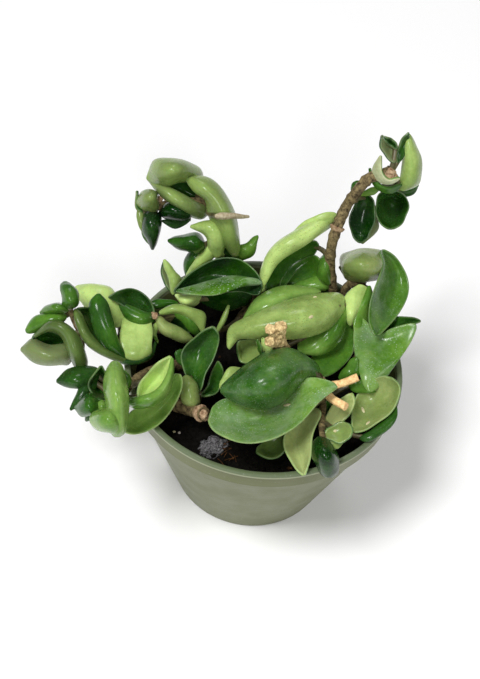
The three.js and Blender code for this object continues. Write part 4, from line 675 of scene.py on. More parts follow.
def place_from_photo(spot):
    """The point at a given height on the sight line through one place in the photo."""
    column, row, height = spot
    across = column - PICTURE_MIDDLE[0]
    down = row - PICTURE_MIDDLE[1]
    right = (across * math.cos(PICTURE_ROLL) - down * math.sin(PICTURE_ROLL)) / PIXELS_PER_MM
    up = (-across * math.sin(PICTURE_ROLL) - down * math.cos(PICTURE_ROLL)) / PIXELS_PER_MM
    sight = AIM + right * across_picture + up * picture_up - eye
    return eye + (height - eye[2]) / sight[2] * sight


def along(points, position):
    """A smooth curve through the points, at a position counted in points."""
    i = min(max(int(position), 0), len(points) - 2)
    t = position - i
    here = points[i]
    ahead = points[i + 1]
    before = points[i - 1] if i > 0 else 2 * here - ahead
    after = points[i + 2] if i + 2 < len(points) else 2 * ahead - here
    bend = 2 * before - 5 * here + 4 * ahead - after
    twist = 3 * here - before - 3 * ahead + after
    return 0.5 * (2 * here + (ahead - before) * t + bend * t ** 2 + twist * t ** 3)


def stepped(points, steps):
    """Points of the same curve, a few to each span."""
    count = steps * (len(points) - 1)
    return [along(points, i / steps) for i in range(count + 1)]


def only(piece):
    bpy.ops.object.select_all(action="DESELECT")
    piece.select_set(True)
    bpy.context.view_layer.objects.active = piece


def apply_modifiers(piece):
    only(piece)
    for modifier in list(piece.modifiers):
        bpy.ops.object.modifier_apply(modifier=modifier.name)


def smooth(piece, degrees=180):
    only(piece)
    bpy.ops.object.shade_smooth_by_angle(angle=math.radians(degrees))


def join(name, pieces):
    """One object of several, with its origin at the world's."""
    bpy.ops.object.select_all(action="DESELECT")
    for piece in pieces:
        piece.select_set(True)
    bpy.context.view_layer.objects.active = pieces[0]
    if len(pieces) > 1:
        bpy.ops.object.join()
    joined = bpy.context.object
    bpy.ops.object.transform_apply(location=True, rotation=True, scale=True)
    joined.name = name
    joined.data.name = name
    return joined


def belongs(piece, node):
    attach(piece, "root")
    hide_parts(node)


# Leaves


class Sheet:
    """A leaf as a function of two shares, from base to tip and from left edge to right edge."""

    def __init__(self, places, blunt=False):
        lines = [[place_from_photo(spot) for spot in line] for line in places[1:-1]]
        base = place_from_photo(places[0])
        tip = place_from_photo(places[-1])
        lefts = [line[0] - line[1] for line in lines]
        rights = [line[2] - line[1] for line in lines]
        self.blunt = blunt
        self.lines = len(lines)
        self.middles = [base] + [line[1] for line in lines] + [tip]
        self.lefts = [lefts[0]] + lefts + [lefts[-1]]
        self.rights = [rights[0]] + rights + [rights[-1]]

    def width_share(self, position):
        """How much of its full width the leaf has: round at its base, pointed or blunt at its tip."""
        if position < 1:
            return math.sqrt(max(0, 1 - (1 - position) ** 2))
        if position > self.lines:
            past = min(position - self.lines, 1)
            return math.sqrt(1 - past ** 2) if self.blunt else 1 - past ** 1.8
        return 1

    def at(self, share, side):
        position = share * (self.lines + 1)
        width = max(self.width_share(position), LEAST_WIDTH)
        left = along(self.lefts, position) * 0.5 * side * (side - 1)
        right = along(self.rights, position) * 0.5 * side * (side + 1)
        return along(self.middles, position) + (left + right) * width


def spacing(step):
    """Rows of a leaf lie closer at its base and its tip."""
    crowded = 0.5 - 0.5 * math.cos(math.pi * step)
    return (1 - CROWDING_AT_ENDS) * step + CROWDING_AT_ENDS * crowded


def leaf_points(places, blunt):
    """The leaf's middle surface as a grid of points, and the grid's own directions."""
    sheet = Sheet(places, blunt)
    shares = [spacing(row / LEAF_ROWS) for row in range(LEAF_ROWS + 1)]
    sides = [2 * column / LEAF_COLUMNS - 1 for column in range(LEAF_COLUMNS + 1)]
    points = np.array([[sheet.at(share, side) for side in sides] for share in shares])
    lengthwise = np.gradient(points, axis=0)
    crosswise = np.gradient(points, axis=1)
    normals = np.cross(crosswise, lengthwise)
    normals /= np.maximum(np.linalg.norm(normals, axis=-1, keepdims=True), 1e-6)
    return points, normals, np.array(shares), np.array(sides)


def faces_eye(points, normals):
    """Whether most of the sheet turns its upper side to the photo's eye."""
    spans = np.linalg.norm(np.gradient(points, axis=0), axis=-1)
    widths = np.linalg.norm(np.gradient(points, axis=1), axis=-1)
    return float(((normals @ toward_eye) * spans * widths).sum()) > 0


def dented(points, depth):
    """The sheet pushed about a little, alike for neighbours, so that none crosses another."""
    pushes = [noise.noise_vector(Vector(point / DENT_SIZE)) for point in points.reshape(-1, 3)]
    return points + depth * np.array(pushes).reshape(points.shape)


def stretched(points):
    """The sheet made a little wider and longer, for what its smoothing takes off."""
    middle = points[:, LEAF_COLUMNS // 2][:, None]
    points = middle + EDGE_SPREAD * (points - middle)
    for end, inner in ((0, 2), (-1, -3)):
        reach = points[end] - points[inner]
        length = np.maximum(np.linalg.norm(reach, axis=-1, keepdims=True), 1e-6)
        points[end] = points[end] + END_REACH * reach / length
    return points


def leaf_piece(name, look, places, chance):
    side_shown, freshness_and_painted_light = look
    points, normals, shares, sides = leaf_points(places, name in BLUNT_LEAVES)
    upper_up = faces_eye(points, normals)
    if upper_up == (side_shown in UNDERSIDES):
        points = points[:, ::-1]
        normals = -normals[:, ::-1]
    groove = np.exp(-(sides / GROOVE_WIDTH) ** 2)
    waves = chance.uniform(1.6, 2.6)
    phases = (chance.uniform(0, TURN), chance.uniform(0, TURN))
    edge = np.abs(sides) ** 3
    body = np.sin(np.pi * np.clip(shares, 0.02, 0.98))[:, None]
    phase = np.where(sides < 0, phases[0], phases[1])[None, :]
    ripple = np.sin(2 * math.pi * waves * shares[:, None] + phase) * edge[None, :]
    shift = MARGIN_WAVE * ripple * body - GROOVE_DEPTH * groove[None, :] * np.sqrt(body)
    points = dented(points, CRUMPLE_DEPTH if name in CRUMPLED_LEAVES else DENT_DEPTH)
    points = stretched(points + normals * shift[..., None])

    bpy.ops.mesh.primitive_grid_add(
        x_subdivisions=LEAF_COLUMNS, y_subdivisions=LEAF_ROWS, size=1, calc_uvs=True
    )
    leaf = bpy.context.object
    leaf.name = name
    for material in LEAF_MATERIALS[side_shown]:
        leaf.data.materials.append(material)
    thick = leaf.vertex_groups.new(name="thick")
    tones = []
    for vertex in leaf.data.vertices:
        column = round((vertex.co.x + 0.5) * LEAF_COLUMNS)
        row = round((vertex.co.y + 0.5) * LEAF_ROWS)
        vertex.co = Vector(points[row, column] * MM)
        full = (1 - sides[column] ** 4) * math.sin(math.pi * min(max(shares[row], 0.1), 0.9)) ** 0.5
        thick.add([vertex.index], EDGE_SHARE + (1 - EDGE_SHARE) * full, "REPLACE")
        tones.append(freshness_and_painted_light + 0.06 * ripple[row, column])
    leaf.data.attributes.new("tone", "FLOAT", "POINT").data.foreach_set("value", tones)
    # The dust amount also sets how much painted sheen the leaf carries.
    dust = [DUST_AND_SHEEN_LEAVES.get(name, PLAIN_DUST_AND_SHEEN)] * len(tones)
    leaf.data.attributes.new("dust", "FLOAT", "POINT").data.foreach_set("value", dust)
    only(leaf)
    bpy.ops.object.mode_set(mode="EDIT")
    bpy.ops.mesh.select_all(action="SELECT")
    bpy.ops.mesh.vertices_smooth(factor=0.5, repeat=OUTLINE_SMOOTHING)
    bpy.ops.object.mode_set(mode="OBJECT")
    solid = leaf.modifiers.new("thickness", "SOLIDIFY")
    solid.thickness = LEAF_THICKNESS * MM
    solid.offset = 0
    solid.vertex_group = "thick"
    solid.material_offset = 1
    solid.material_offset_rim = 2
    rounding = leaf.modifiers.new("rounding", "SUBSURF")
    rounding.levels = 1
    apply_modifiers(leaf)
    return leaf


# Stems


def stem_piece(name, points, radii, material, uneven=0.0, chance=None):
    """A round stem along the points, its thickness changing from one to the next."""
    stem = bpy.data.objects.new(name, bpy.data.curves.new(name, "CURVE"))
    bpy.context.collection.objects.link(stem)
    stem.data.dimensions = "3D"
    spline = stem.data.splines.new("POLY")
    spline.points.add(len(points) - 1)
    for spot, point, radius in zip(spline.points, points, radii):
        wobble = chance.uniform(-uneven, uneven) if chance else 0
        spot.co = (*(point * MM), 1)
        spot.radius = radius * (1 + wobble)
    stem.data.bevel_depth = MM
    stem.data.bevel_resolution = 4
    stem.data.use_fill_caps = True
    only(stem)
    bpy.ops.object.convert(target="MESH")
    stem = bpy.context.object
    stem.data.materials.clear()
    stem.data.materials.append(material)
    smooth(stem, 50)
    return stem


def tapered(count, foot, end, nodes=0):
    """Radii from foot to end, with a swelling at each node."""
    radii = []
    for i in range(count):
        share = i / (count - 1)
        swelling = 0.18 * max(0, math.cos(2 * math.pi * nodes * share)) ** 8 if nodes else 0
        radii.append((foot + (end - foot) * share) * (1 + swelling))
    return radii


def node_ring(trunk, position, radius):
    """The swollen ring that an old leaf leaves on a stem."""
    steps = (-0.16, -0.1, 0.0, 0.06, 0.1)
    spots = [along(trunk, position + step) for step in steps]
    radii = [0.9 * radius, 1.2 * radius, 1.4 * radius, 1.5 * radius, 0.9 * radius]
    return stem_piece("ring", spots, radii, NODE_WOOD)


def wood_knob(name, spot, radius, chance):
    """A rough little knob of wood at a place read in the photo."""
    bpy.ops.mesh.primitive_ico_sphere_add(
        subdivisions=3, radius=radius * MM, location=place_from_photo(spot) * MM
    )
    knob = bpy.context.object
    knob.name = name
    start = chance.uniform(0, 90)
    for vertex in knob.data.vertices:
        lump = noise.noise(vertex.co / (0.8 * radius * MM) + Vector((start, 0, 0)))
        vertex.co *= 1 + KNOB_ROUGHNESS * lump
    knob.data.materials.append(NODE_WOOD)
    return knob


def roughened(stub):
    """One skin over the stub's pieces, with the lumps of old wood."""
    only(stub)
    skin = stub.modifiers.new("skin", "REMESH")
    skin.mode = "VOXEL"
    skin.voxel_size = STUB_SKIN_CELL * MM
    lumps = bpy.data.textures.new("lumps", "CLOUDS")
    lumps.noise_scale = STUB_LUMP_SIZE * MM
    lumpy = stub.modifiers.new("lumpy", "DISPLACE")
    lumpy.texture = lumps
    lumpy.strength = STUB_LUMP_HEIGHT * MM
    lumpy.mid_level = 0.5
    apply_modifiers(stub)
    stub.data.materials.clear()
    stub.data.materials.append(STUB_WOOD)
    smooth(stub, 80)


def nearest_on(lines, point):
    spots = [spot for line in lines for spot in stepped(line, 8)]
    return min(spots, key=lambda spot: np.linalg.norm(spot - point))


def vine_stems(name, vine, chance):
    foot_radius, end_radius = vine["girth"]
    trunk = [place_from_photo(spot) for spot in vine["stem"]]
    foot = trunk[0].copy()
    foot[2] = SOIL_LEVEL - ROOT_DEPTH
    trunk = [foot] + trunk
    sticks = [[place_from_photo(spot) for spot in stick] for stick in vine["sticks"]]
    path = stepped(trunk, 6)
    radii = tapered(len(path), foot_radius, end_radius, len(trunk) - 2)
    pieces = [stem_piece("stem", path, radii, BARK, 0.06, chance)]
    for position in NODE_RINGS.get(name, ()):
        share = (position + 1) / (len(trunk) - 1)
        radius = foot_radius + (end_radius - foot_radius) * share
        pieces.append(node_ring(trunk, position + 1, radius))
    for spot, radius in WOOD_KNOBS.get(name, ()):
        pieces.append(wood_knob("knob", spot, radius, chance))
    for stick in sticks:
        path = stepped(stick, 6)
        radii = tapered(len(path), end_radius, end_radius)
        pieces.append(stem_piece("stick", path, radii, CUT_WOOD, 0.05, chance))
    for leaf in vine["leaves"].values():
        sheet = Sheet(leaf[-1])
        in_leaf = sheet.at(0.1, 0)
        on_stem = nearest_on([trunk] + sticks, in_leaf)
        if np.linalg.norm(on_stem - in_leaf) > STALK_RADIUS:
            into = sheet.at(0.16, 0) - sheet.at(0.04, 0)
            into = into / max(np.linalg.norm(into), 1e-6)
            reach = np.linalg.norm(on_stem - in_leaf)
            in_leaf = sheet.at(0.07, 0) - 0.9 * STALK_RADIUS * toward_eye
            elbow = 0.5 * (on_stem + in_leaf) - 0.12 * reach * into - 0.15 * reach * toward_eye
            path = stepped([on_stem, elbow, in_leaf], 4)
            radii = tapered(len(path), 1.15 * STALK_RADIUS, STALK_RADIUS)
            pieces.append(stem_piece("stalk", path, radii, STALK))
    return pieces


def build_vine(name, vine):
    chance = random.Random(f"{SEED} {name}")
    stems = join(f"{name}_stems", vine_stems(name, vine, chance))
    if name == "stub":
        roughened(stems)
    belongs(stems, name)
    leaves = []
    for leaf_name, (look, freshness_and_painted_light, places) in vine["leaves"].items():
        leaves.append(leaf_piece(leaf_name, (look, freshness_and_painted_light), places, chance))
    if leaves:
        leafage = join(f"{name}_leaves", leaves)
        smooth(leafage)
        belongs(leafage, name)


# Pot and soil


def wall_radius(height):
    shoulder_height = POT_HEIGHT - COLLAR_HEIGHT
    shoulder_radius = RIM_RADIUS - COLLAR_TAPER - SHOULDER
    return BASE_RADIUS + (shoulder_radius - BASE_RADIUS) * height / shoulder_height


def build_pot():
    shoulder_height = POT_HEIGHT - COLLAR_HEIGHT
    collar_radius = RIM_RADIUS - COLLAR_TAPER
    lip_underside = POT_HEIGHT - LIP_DEPTH
    profile = [
        (BASE_RADIUS - 1, 0),
        (BASE_RADIUS - 0.3, 0.25),
        (BASE_RADIUS, 1),
        (wall_radius(shoulder_height - 1), shoulder_height - 1),
        (wall_radius(shoulder_height) + 0.5, shoulder_height - 0.4),
        (collar_radius, shoulder_height),
        (RIM_RADIUS - 0.9, lip_underside),
        (RIM_RADIUS - 0.15, lip_underside + 0.25),
        (RIM_RADIUS, lip_underside + 0.7),
        (RIM_RADIUS, POT_HEIGHT - 0.6),
        (RIM_RADIUS - 0.25, POT_HEIGHT - 0.15),
        (RIM_RADIUS - 0.7, POT_HEIGHT),
        (RIM_RADIUS - 1.7, POT_HEIGHT),
        (RIM_RADIUS - 2.2, POT_HEIGHT - 0.3),
        (RIM_RADIUS - 2.5, POT_HEIGHT - 1),
        (collar_radius - WALL, shoulder_height + 0.6),
        (wall_radius(shoulder_height) - WALL, shoulder_height - 1),
        (wall_radius(FLOOR_THICKNESS) - WALL, FLOOR_THICKNESS),
    ]
    radius, height = profile[0]
    bpy.ops.mesh.primitive_circle_add(
        vertices=POT_SIDES, radius=radius * MM, fill_type="NGON", location=(0, 0, height * MM)
    )
    pot = bpy.context.object
    bpy.ops.object.mode_set(mode="EDIT")
    bpy.ops.mesh.select_all(action="SELECT")
    bpy.ops.mesh.select_mode(type="EDGE")
    bpy.ops.mesh.region_to_loop()
    for next_radius, next_height in profile[1:]:
        rise = (0, 0, (next_height - height) * MM)
        bpy.ops.mesh.extrude_region_move(TRANSFORM_OT_translate={"value": rise})
        share = next_radius / radius
        bpy.ops.transform.resize(value=(share, share, 1), center_override=(0, 0, next_height * MM))
        radius, height = next_radius, next_height
    bpy.ops.mesh.edge_face_add()
    bpy.ops.mesh.select_all(action="SELECT")
    bpy.ops.mesh.normals_make_consistent(inside=False)
    bpy.ops.object.mode_set(mode="OBJECT")
    for i in range(DRAIN_HOLES):
        angle = 2 * math.pi * (i + 0.5) / DRAIN_HOLES
        centre = (DRAIN_CIRCLE * math.cos(angle) * MM, DRAIN_CIRCLE * math.sin(angle) * MM, 0)
        bpy.ops.mesh.primitive_cylinder_add(
            vertices=24, radius=DRAIN_RADIUS * MM, depth=4 * FLOOR_THICKNESS * MM, location=centre
        )
        drill = bpy.context.object
        cut = pot.modifiers.new("drain", "BOOLEAN")
        cut.operation = "DIFFERENCE"
        cut.object = drill
        apply_modifiers(pot)
        bpy.data.objects.remove(drill)
    pot = join("pot_moulded", [pot])
    smooth(pot, 35)
    pot.data.materials.clear()
    pot.data.materials.append(POT_PLASTIC)
    belongs(pot, "pot")


def soil_height(x, y):
    """Height of the soil's crumbly top, with one larger clump near the front."""
    ripple = math.sin(0.31 * x + 1.3) * math.cos(0.27 * y - 0.4)
    crumbs = math.sin(0.83 * x - 0.6 * y) + math.cos(0.71 * y + 0.5 * x)
    clump = place_from_photo(CLUMP_IN_PHOTO)
    away = math.hypot(x - clump[0], y - clump[1]) / CLUMP_RADIUS
    rise = CLUMP_HEIGHT * math.exp(-away * away)
    return SOIL_LEVEL + SOIL_ROUGHNESS * (0.8 * ripple + 0.35 * crumbs) + rise


def build_soil():
    bpy.ops.mesh.primitive_grid_add(x_subdivisions=SOIL_CELLS, y_subdivisions=SOIL_CELLS, size=2)
    soil = bpy.context.object
    for vertex in soil.data.vertices:
        x, y = vertex.co.x, vertex.co.y
        round_x = SOIL_RADIUS * x * math.sqrt(1 - y * y / 2)
        round_y = SOIL_RADIUS * y * math.sqrt(1 - x * x / 2)
        height = soil_height(round_x, round_y)
        grain = 0.0
        for size, share in ((0.45, 0.55), (1.1, 0.4), (2.6, 0.18)):
            spot = Vector((round_x * size, round_y * size, 3.7))
            grain += share * noise.noise(spot)
        vertex.co = (round_x * MM, round_y * MM, (height + grain) * MM)
    bpy.ops.object.mode_set(mode="EDIT")
    bpy.ops.mesh.select_all(action="SELECT")
    bpy.ops.mesh.select_mode(type="EDGE")
    bpy.ops.mesh.region_to_loop()
    bpy.ops.mesh.extrude_region_move(TRANSFORM_OT_translate={"value": (0, 0, -2 * MM)})
    drop = (0, 0, -(SOIL_LEVEL - 2 - SOIL_BOTTOM - 2) * MM)
    bpy.ops.mesh.extrude_region_move(TRANSFORM_OT_translate={"value": drop})
    share = SOIL_BOTTOM_RADIUS / SOIL_RADIUS
    bpy.ops.transform.resize(value=(share, share, 0.1), center_override=(0, 0, (SOIL_BOTTOM + 0.6) * MM))
    bpy.ops.mesh.edge_face_add()
    bpy.ops.mesh.select_all(action="SELECT")
    bpy.ops.mesh.normals_make_consistent(inside=False)
    bpy.ops.object.mode_set(mode="OBJECT")
    soil = join("soil_bed", [soil])
    smooth(soil, 60)
    soil.data.materials.append(SOIL)
    belongs(soil, "soil")


def crumb(spot, size, chance):
    """A rough crumb of soil, bark or perlite."""
    bpy.ops.mesh.primitive_ico_sphere_add(subdivisions=1, radius=size * MM, location=spot)
    grain = bpy.context.object
    grain.rotation_euler = [chance.uniform(0, TURN) for _ in range(3)]
    grain.scale = (1, chance.uniform(0.6, 1), chance.uniform(0.45, 0.9))
    for vertex in grain.data.vertices:
        vertex.co *= chance.uniform(0.75, 1.2)
    return grain


def build_clump():
    """The grey rough lump that lies on the soil near the front."""
    chance = random.Random(f"{SEED} clump")
    lumps = []
    for column, row, height, radius in CLUMP_LUMPS:
        spot = place_from_photo((column, row, height)) * MM
        bpy.ops.mesh.primitive_ico_sphere_add(subdivisions=4, radius=radius * MM, location=spot)
        lump = bpy.context.object
        start = Vector((chance.uniform(0, 90), 0, 0))
        for vertex in lump.data.vertices:
            coarse = noise.noise(vertex.co / (1.8 * MM) + start)
            fine = noise.noise(vertex.co / (0.5 * MM) + start)
            vertex.co *= 1 + 0.25 * coarse + 0.2 * fine
        lumps.append(lump)
    clump = join("soil_clump", lumps)
    clump.data.materials.append(CLUMP)
    smooth(clump, 40)
    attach(clump, "root")


def build_flecks():
    """Dry flecks that lie on the leaves, set down along the photo's lines of sight."""
    view = bpy.context.evaluated_depsgraph_get()
    flecks = []
    for column, row, length, turn in FLECKS:
        sight = Vector(place_from_photo((column, row, POT_HEIGHT)) - eye).normalized()
        hit, spot, normal, *_ = bpy.context.scene.ray_cast(view, Vector(eye * MM), sight)
        if not hit:
            continue
        bpy.ops.mesh.primitive_ico_sphere_add(subdivisions=2, radius=MM)
        fleck = bpy.context.object
        lie = normal.to_track_quat("Z", "Y").to_matrix().to_4x4()
        flat = Matrix.Diagonal((0.55 * length, FLECK_WIDTH, FLECK_HEIGHT, 1))
        fleck.matrix_world = Matrix.Translation(spot) @ lie @ Matrix.Rotation(turn, 4, "Z") @ flat
        flecks.append(fleck)
    flecks = join("leaf_flecks", flecks)
    flecks.data.materials.append(FLECK)
    smooth(flecks)
    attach(flecks, "root")


def build_fibres():
    """Brown fibres that lie on the soil beside the grey lump."""
    chance = random.Random(f"{SEED} fibres")
    fibres = []
    for _ in range(FIBRES):
        column = chance.gauss(FIBRES_IN_PHOTO[0], 7)
        row = chance.gauss(FIBRES_IN_PHOTO[1], 4)
        start = place_from_photo((column, row, SOIL_LEVEL))
        start[2] = soil_height(start[0], start[1]) + 0.5
        angle = chance.uniform(0, math.pi)
        half = 0.5 * chance.uniform(1.5, 5)
        reach = half * np.array([math.cos(angle), math.sin(angle), chance.uniform(-0.2, 0.2)])
        bow = np.array([0, 0, 0.3 * half])
        path = stepped([start - reach, start + bow, start + reach], 3)
        fibres.append(stem_piece("fibre", path, [FIBRE_RADIUS] * len(path), BARK_BITS))
    fibres = join("soil_fibres", fibres)
    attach(fibres, "root")


def build_crumbs():
    """Loose crumbs of soil, bark and perlite, strewn over the soil."""
    chance = random.Random(SEED)
    kinds = {"soil_crumbs": (SOIL, 1.0), "bark_bits": (BARK_BITS, 0.1), "perlite_bits": (PERLITE, 0.03)}
    for name, (material, share) in kinds.items():
        grains = []
        for _ in range(round(CRUMBS * share)):
            angle = chance.uniform(0, 2 * math.pi)
            radius = (SOIL_RADIUS - 2.5) * math.sqrt(chance.random())
            x, y = radius * math.cos(angle), radius * math.sin(angle)
            size = chance.choice((0.4, 0.5, 0.6, 0.8, 1.1, 1.5))
            spot = (x * MM, y * MM, (soil_height(x, y) + 0.2 * size) * MM)
            grains.append(crumb(spot, size, chance))
        crumbs = join(name, grains)
        crumbs.data.materials.append(material)
        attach(crumbs, "root")


# Materials


def new_material(name, roughness):
    material = bpy.data.materials.new(name)
    material.use_nodes = True
    shader = material.node_tree.nodes["Principled BSDF"]
    shader.inputs["Roughness"].default_value = roughness
    return material, material.node_tree, shader


def node(tree, kind, inputs=None, **settings):
    """A shader node: its settings, and its inputs as values or as links."""
    made = tree.nodes.new("ShaderNode" + kind)
    for setting, value in settings.items():
        setattr(made, setting, value)
    for key, value in (inputs or {}).items():
        if isinstance(value, bpy.types.NodeSocket):
            tree.links.new(value, made.inputs[key])
        else:
            made.inputs[key].default_value = value
    return made


def place(tree):
    return node(tree, "TexCoord").outputs["Object"]


def cloud(tree, scale, detail=3, roughness=0.55):
    """Soft noise from 0 to 1; the scale is in features to a metre."""
    inputs = {"Vector": place(tree), "Scale": scale, "Detail": detail, "Roughness": roughness}
    return node(tree, "TexNoise", inputs).outputs["Fac"]


def maths(tree, operation, first, second=0.0, clamp=False):
    made = node(tree, "Math", {0: first, 1: second}, operation=operation, use_clamp=clamp)
    return made.outputs[0]


def remap(tree, value, low, high, to_low=0.0, to_high=1.0):
    inputs = {"Value": value, "From Min": low, "From Max": high, "To Min": to_low, "To Max": to_high}
    return node(tree, "MapRange", inputs, clamp=True).outputs["Result"]


def ramp(tree, value, stops):
    made = node(tree, "ValToRGB", {"Fac": value})
    ends = made.color_ramp.elements
    while len(ends) < len(stops):
        ends.new(0.5)
    for end, (position, colour) in zip(ends, stops):
        end.position = position
        end.color = (*colour, 1)
    return made.outputs["Color"]


def mix(tree, share, first, second):
    made = node(tree, "Mix", data_type="RGBA")
    for key, value in ((0, share), (6, first), (7, second)):
        if isinstance(value, bpy.types.NodeSocket):
            tree.links.new(value, made.inputs[key])
        else:
            made.inputs[key].default_value = value if key == 0 else (*value, 1)
    return made.outputs[2]


def bump(tree, height, strength, depth, normal=None):
    """Relief of a given depth in millimetres."""
    inputs = {"Height": height, "Strength": strength, "Distance": depth * MM}
    if normal is not None:
        inputs["Normal"] = normal
    return node(tree, "Bump", inputs).outputs["Normal"]


def leaf_side(name, roughness, stops, rib, margin, specks_and_sheen):
    """One side of a leaf: its green by the leaf's tone, partly its freshness and partly painted shade and
    light; mottled, with midrib, a pale edge line that is partly a painted highlight, and dust that is partly
    a painted sheen.
    """
    material, tree, shader = new_material(name, roughness)
    links = tree.links
    # The tone: how fresh the leaf is, partly painted shade and light set leaf by leaf.
    fresh_and_painted_light = node(tree, "Attribute", attribute_name="tone").outputs["Fac"]
    patches = remap(tree, cloud(tree, 75), 0.3, 0.7, -0.18, 0.16)
    grain = remap(tree, cloud(tree, 900, 2), 0.3, 0.7, -0.05, 0.05)
    tone = maths(tree, "ADD", maths(tree, "ADD", fresh_and_painted_light, patches), grain)
    colour = ramp(tree, tone, stops)
    across = node(tree, "SeparateXYZ", {0: node(tree, "TexCoord").outputs["UV"]}).outputs["X"]
    centred = maths(tree, "SUBTRACT", across, 0.5)
    from_middle = maths(tree, "MULTIPLY", maths(tree, "ABSOLUTE", centred), 2.0)
    rib_colour, rib_share = rib
    on_rib = remap(tree, from_middle, 0.02, 0.10, rib_share, 0.0)
    colour = mix(tree, on_rib, colour, rib_colour)
    # Pale line along both edges of the face: partly the leaf's own pale edge, partly a painted highlight
    # where the thick rounded edge catches the lamps.
    margin_colour, margin_share = margin
    on_margin = remap(tree, from_middle, 0.955, 0.995, 0.0, margin_share)
    colour = mix(tree, on_margin, colour, margin_colour)
    dust_and_sheen_colour, speck_share, haze_share = specks_and_sheen
    # Pale haze over the dusty leaves: partly dust and bloom, partly painted sheen. The dots further down are
    # dust specks.
    dust_and_sheen = node(tree, "Attribute", attribute_name="dust").outputs["Fac"]
    haze = maths(tree, "MULTIPLY", dust_and_sheen, remap(tree, cloud(tree, 85, 5, 0.7), 0.40, 0.70, 0.0, haze_share))
    colour = mix(tree, haze, colour, dust_and_sheen_colour)
    dots = node(tree, "TexVoronoi", {"Vector": place(tree), "Scale": 1150.0}).outputs["Distance"]
    spots = remap(tree, dots, 0.12, 0.30, 1.0, 0.0)
    gathered = maths(tree, "MULTIPLY", dust_and_sheen, remap(tree, cloud(tree, 130, 4), 0.38, 0.60, 0.0, speck_share))
    colour = mix(tree, maths(tree, "MULTIPLY", spots, gathered), colour, dust_and_sheen_colour)
    links.new(colour, shader.inputs["Base Color"])
    dents = bump(tree, cloud(tree, 95, 1), 0.6, 1.6)
    waves = bump(tree, cloud(tree, 260, 2), 0.4, 0.4, dents)
    pores = bump(tree, cloud(tree, 2400, 2), 0.25, 0.05, waves)
    links.new(pores, shader.inputs["Normal"])
    worn = remap(tree, cloud(tree, 240, 3), 0.3, 0.7, roughness - 0.05, roughness + 0.1)
    links.new(worn, shader.inputs["Roughness"])
    shader.inputs["Specular IOR Level"].default_value = 0.12
    shader.inputs["Coat Weight"].default_value = 0.22
    shader.inputs["Coat Roughness"].default_value = 0.16
    shader.inputs["Subsurface Weight"].default_value = 0.08
    shader.inputs["Subsurface Scale"].default_value = MM
    return material


def leaf_upper():
    stops = [
        (0.0, (0.001, 0.020, 0.0003)),
        (0.3, (0.022, 0.090, 0.005)),
        (0.6, (0.080, 0.195, 0.018)),
        (1.0, (0.240, 0.390, 0.085)),
    ]
    rib = ((0.020, 0.070, 0.012), 0.15)
    # Whitish edge line on the upper side: partly a painted highlight.
    margin = ((0.34, 0.45, 0.26), 0.6)
    # Dust and painted sheen on the upper side: a pale grey-green haze and specks.
    return leaf_side("leaf_upper", 0.18, stops, rib, margin, ((0.33, 0.42, 0.30), 0.7, 0.28))


def leaf_under():
    stops = [
        (0.0, (0.150, 0.180, 0.085)),
        (0.3, (0.155, 0.215, 0.065)),
        (0.6, (0.235, 0.345, 0.085)),
        (1.0, (0.500, 0.670, 0.210)),
    ]
    rib = ((0.160, 0.260, 0.060), 0.12)
    # Pale edge line on the underside: partly a painted highlight.
    margin = ((0.36, 0.46, 0.22), 0.45)
    return leaf_side("leaf_under", 0.26, stops, rib, margin, ((0.12, 0.16, 0.04), 0.7, 0.3))


def leaf_olive():
    stops = [
        (0.0, (0.045, 0.075, 0.016)),
        (0.4, (0.090, 0.150, 0.032)),
        (0.75, (0.200, 0.275, 0.072)),
        (1.0, (0.370, 0.440, 0.160)),
    ]
    rib = ((0.090, 0.150, 0.040), 0.12)
    # Pale beige edge line: partly dry edges, partly a painted highlight.
    margin = ((0.50, 0.54, 0.34), 0.6)
    return leaf_side("leaf_olive", 0.28, stops, rib, margin, ((0.30, 0.33, 0.18), 0.4, 0.35))


def leaf_cream():
    stops = [(0.35, (0.26, 0.30, 0.14)), (0.75, (0.60, 0.63, 0.40))]
    rib = ((0.30, 0.36, 0.18), 0.1)
    margin = ((0.22, 0.27, 0.11), 0.6)
    return leaf_side("leaf_cream", 0.4, stops, rib, margin, ((0.30, 0.32, 0.18), 0.3, 0.2))


def leaf_rim():
    stops = [
        (0.0, (0.055, 0.100, 0.038)),
        (0.5, (0.115, 0.205, 0.060)),
        (1.0, (0.300, 0.420, 0.140)),
    ]
    plain = ((0.2, 0.3, 0.1), 0.0)
    return leaf_side("leaf_rim", 0.38, stops, plain, plain, ((0.4, 0.45, 0.3), 0.2, 0.1))


def woody(name, roughness, pale, dark, ring_share):
    """Bark or cut wood: long streaks, scattered scars and a rough skin."""
    material, tree, shader = new_material(name, roughness)
    links = tree.links
    streaks = cloud(tree, 650, 6, 0.72)
    colour = ramp(tree, streaks, [(0.36, dark), (0.62, pale)])
    scars = remap(tree, cloud(tree, 150, 3), 0.56, 0.68, 0.0, ring_share)
    colour = mix(tree, scars, colour, tuple(0.55 * value for value in dark))
    links.new(colour, shader.inputs["Base Color"])
    knobs = bump(tree, cloud(tree, 500, 4), 0.8, 0.6)
    skin = bump(tree, cloud(tree, 1800, 3), 0.6, 0.2, knobs)
    links.new(skin, shader.inputs["Normal"])
    shader.inputs["Specular IOR Level"].default_value = 0.2
    return material


def stalk_material():
    material, tree, shader = new_material("leaf_stalk", 0.45)
    colour = ramp(tree, cloud(tree, 260, 4), [(0.35, (0.045, 0.038, 0.016)), (0.65, (0.13, 0.115, 0.045))])
    tree.links.new(colour, shader.inputs["Base Color"])
    tree.links.new(bump(tree, cloud(tree, 900, 3), 0.5, 0.2), shader.inputs["Normal"])
    return material


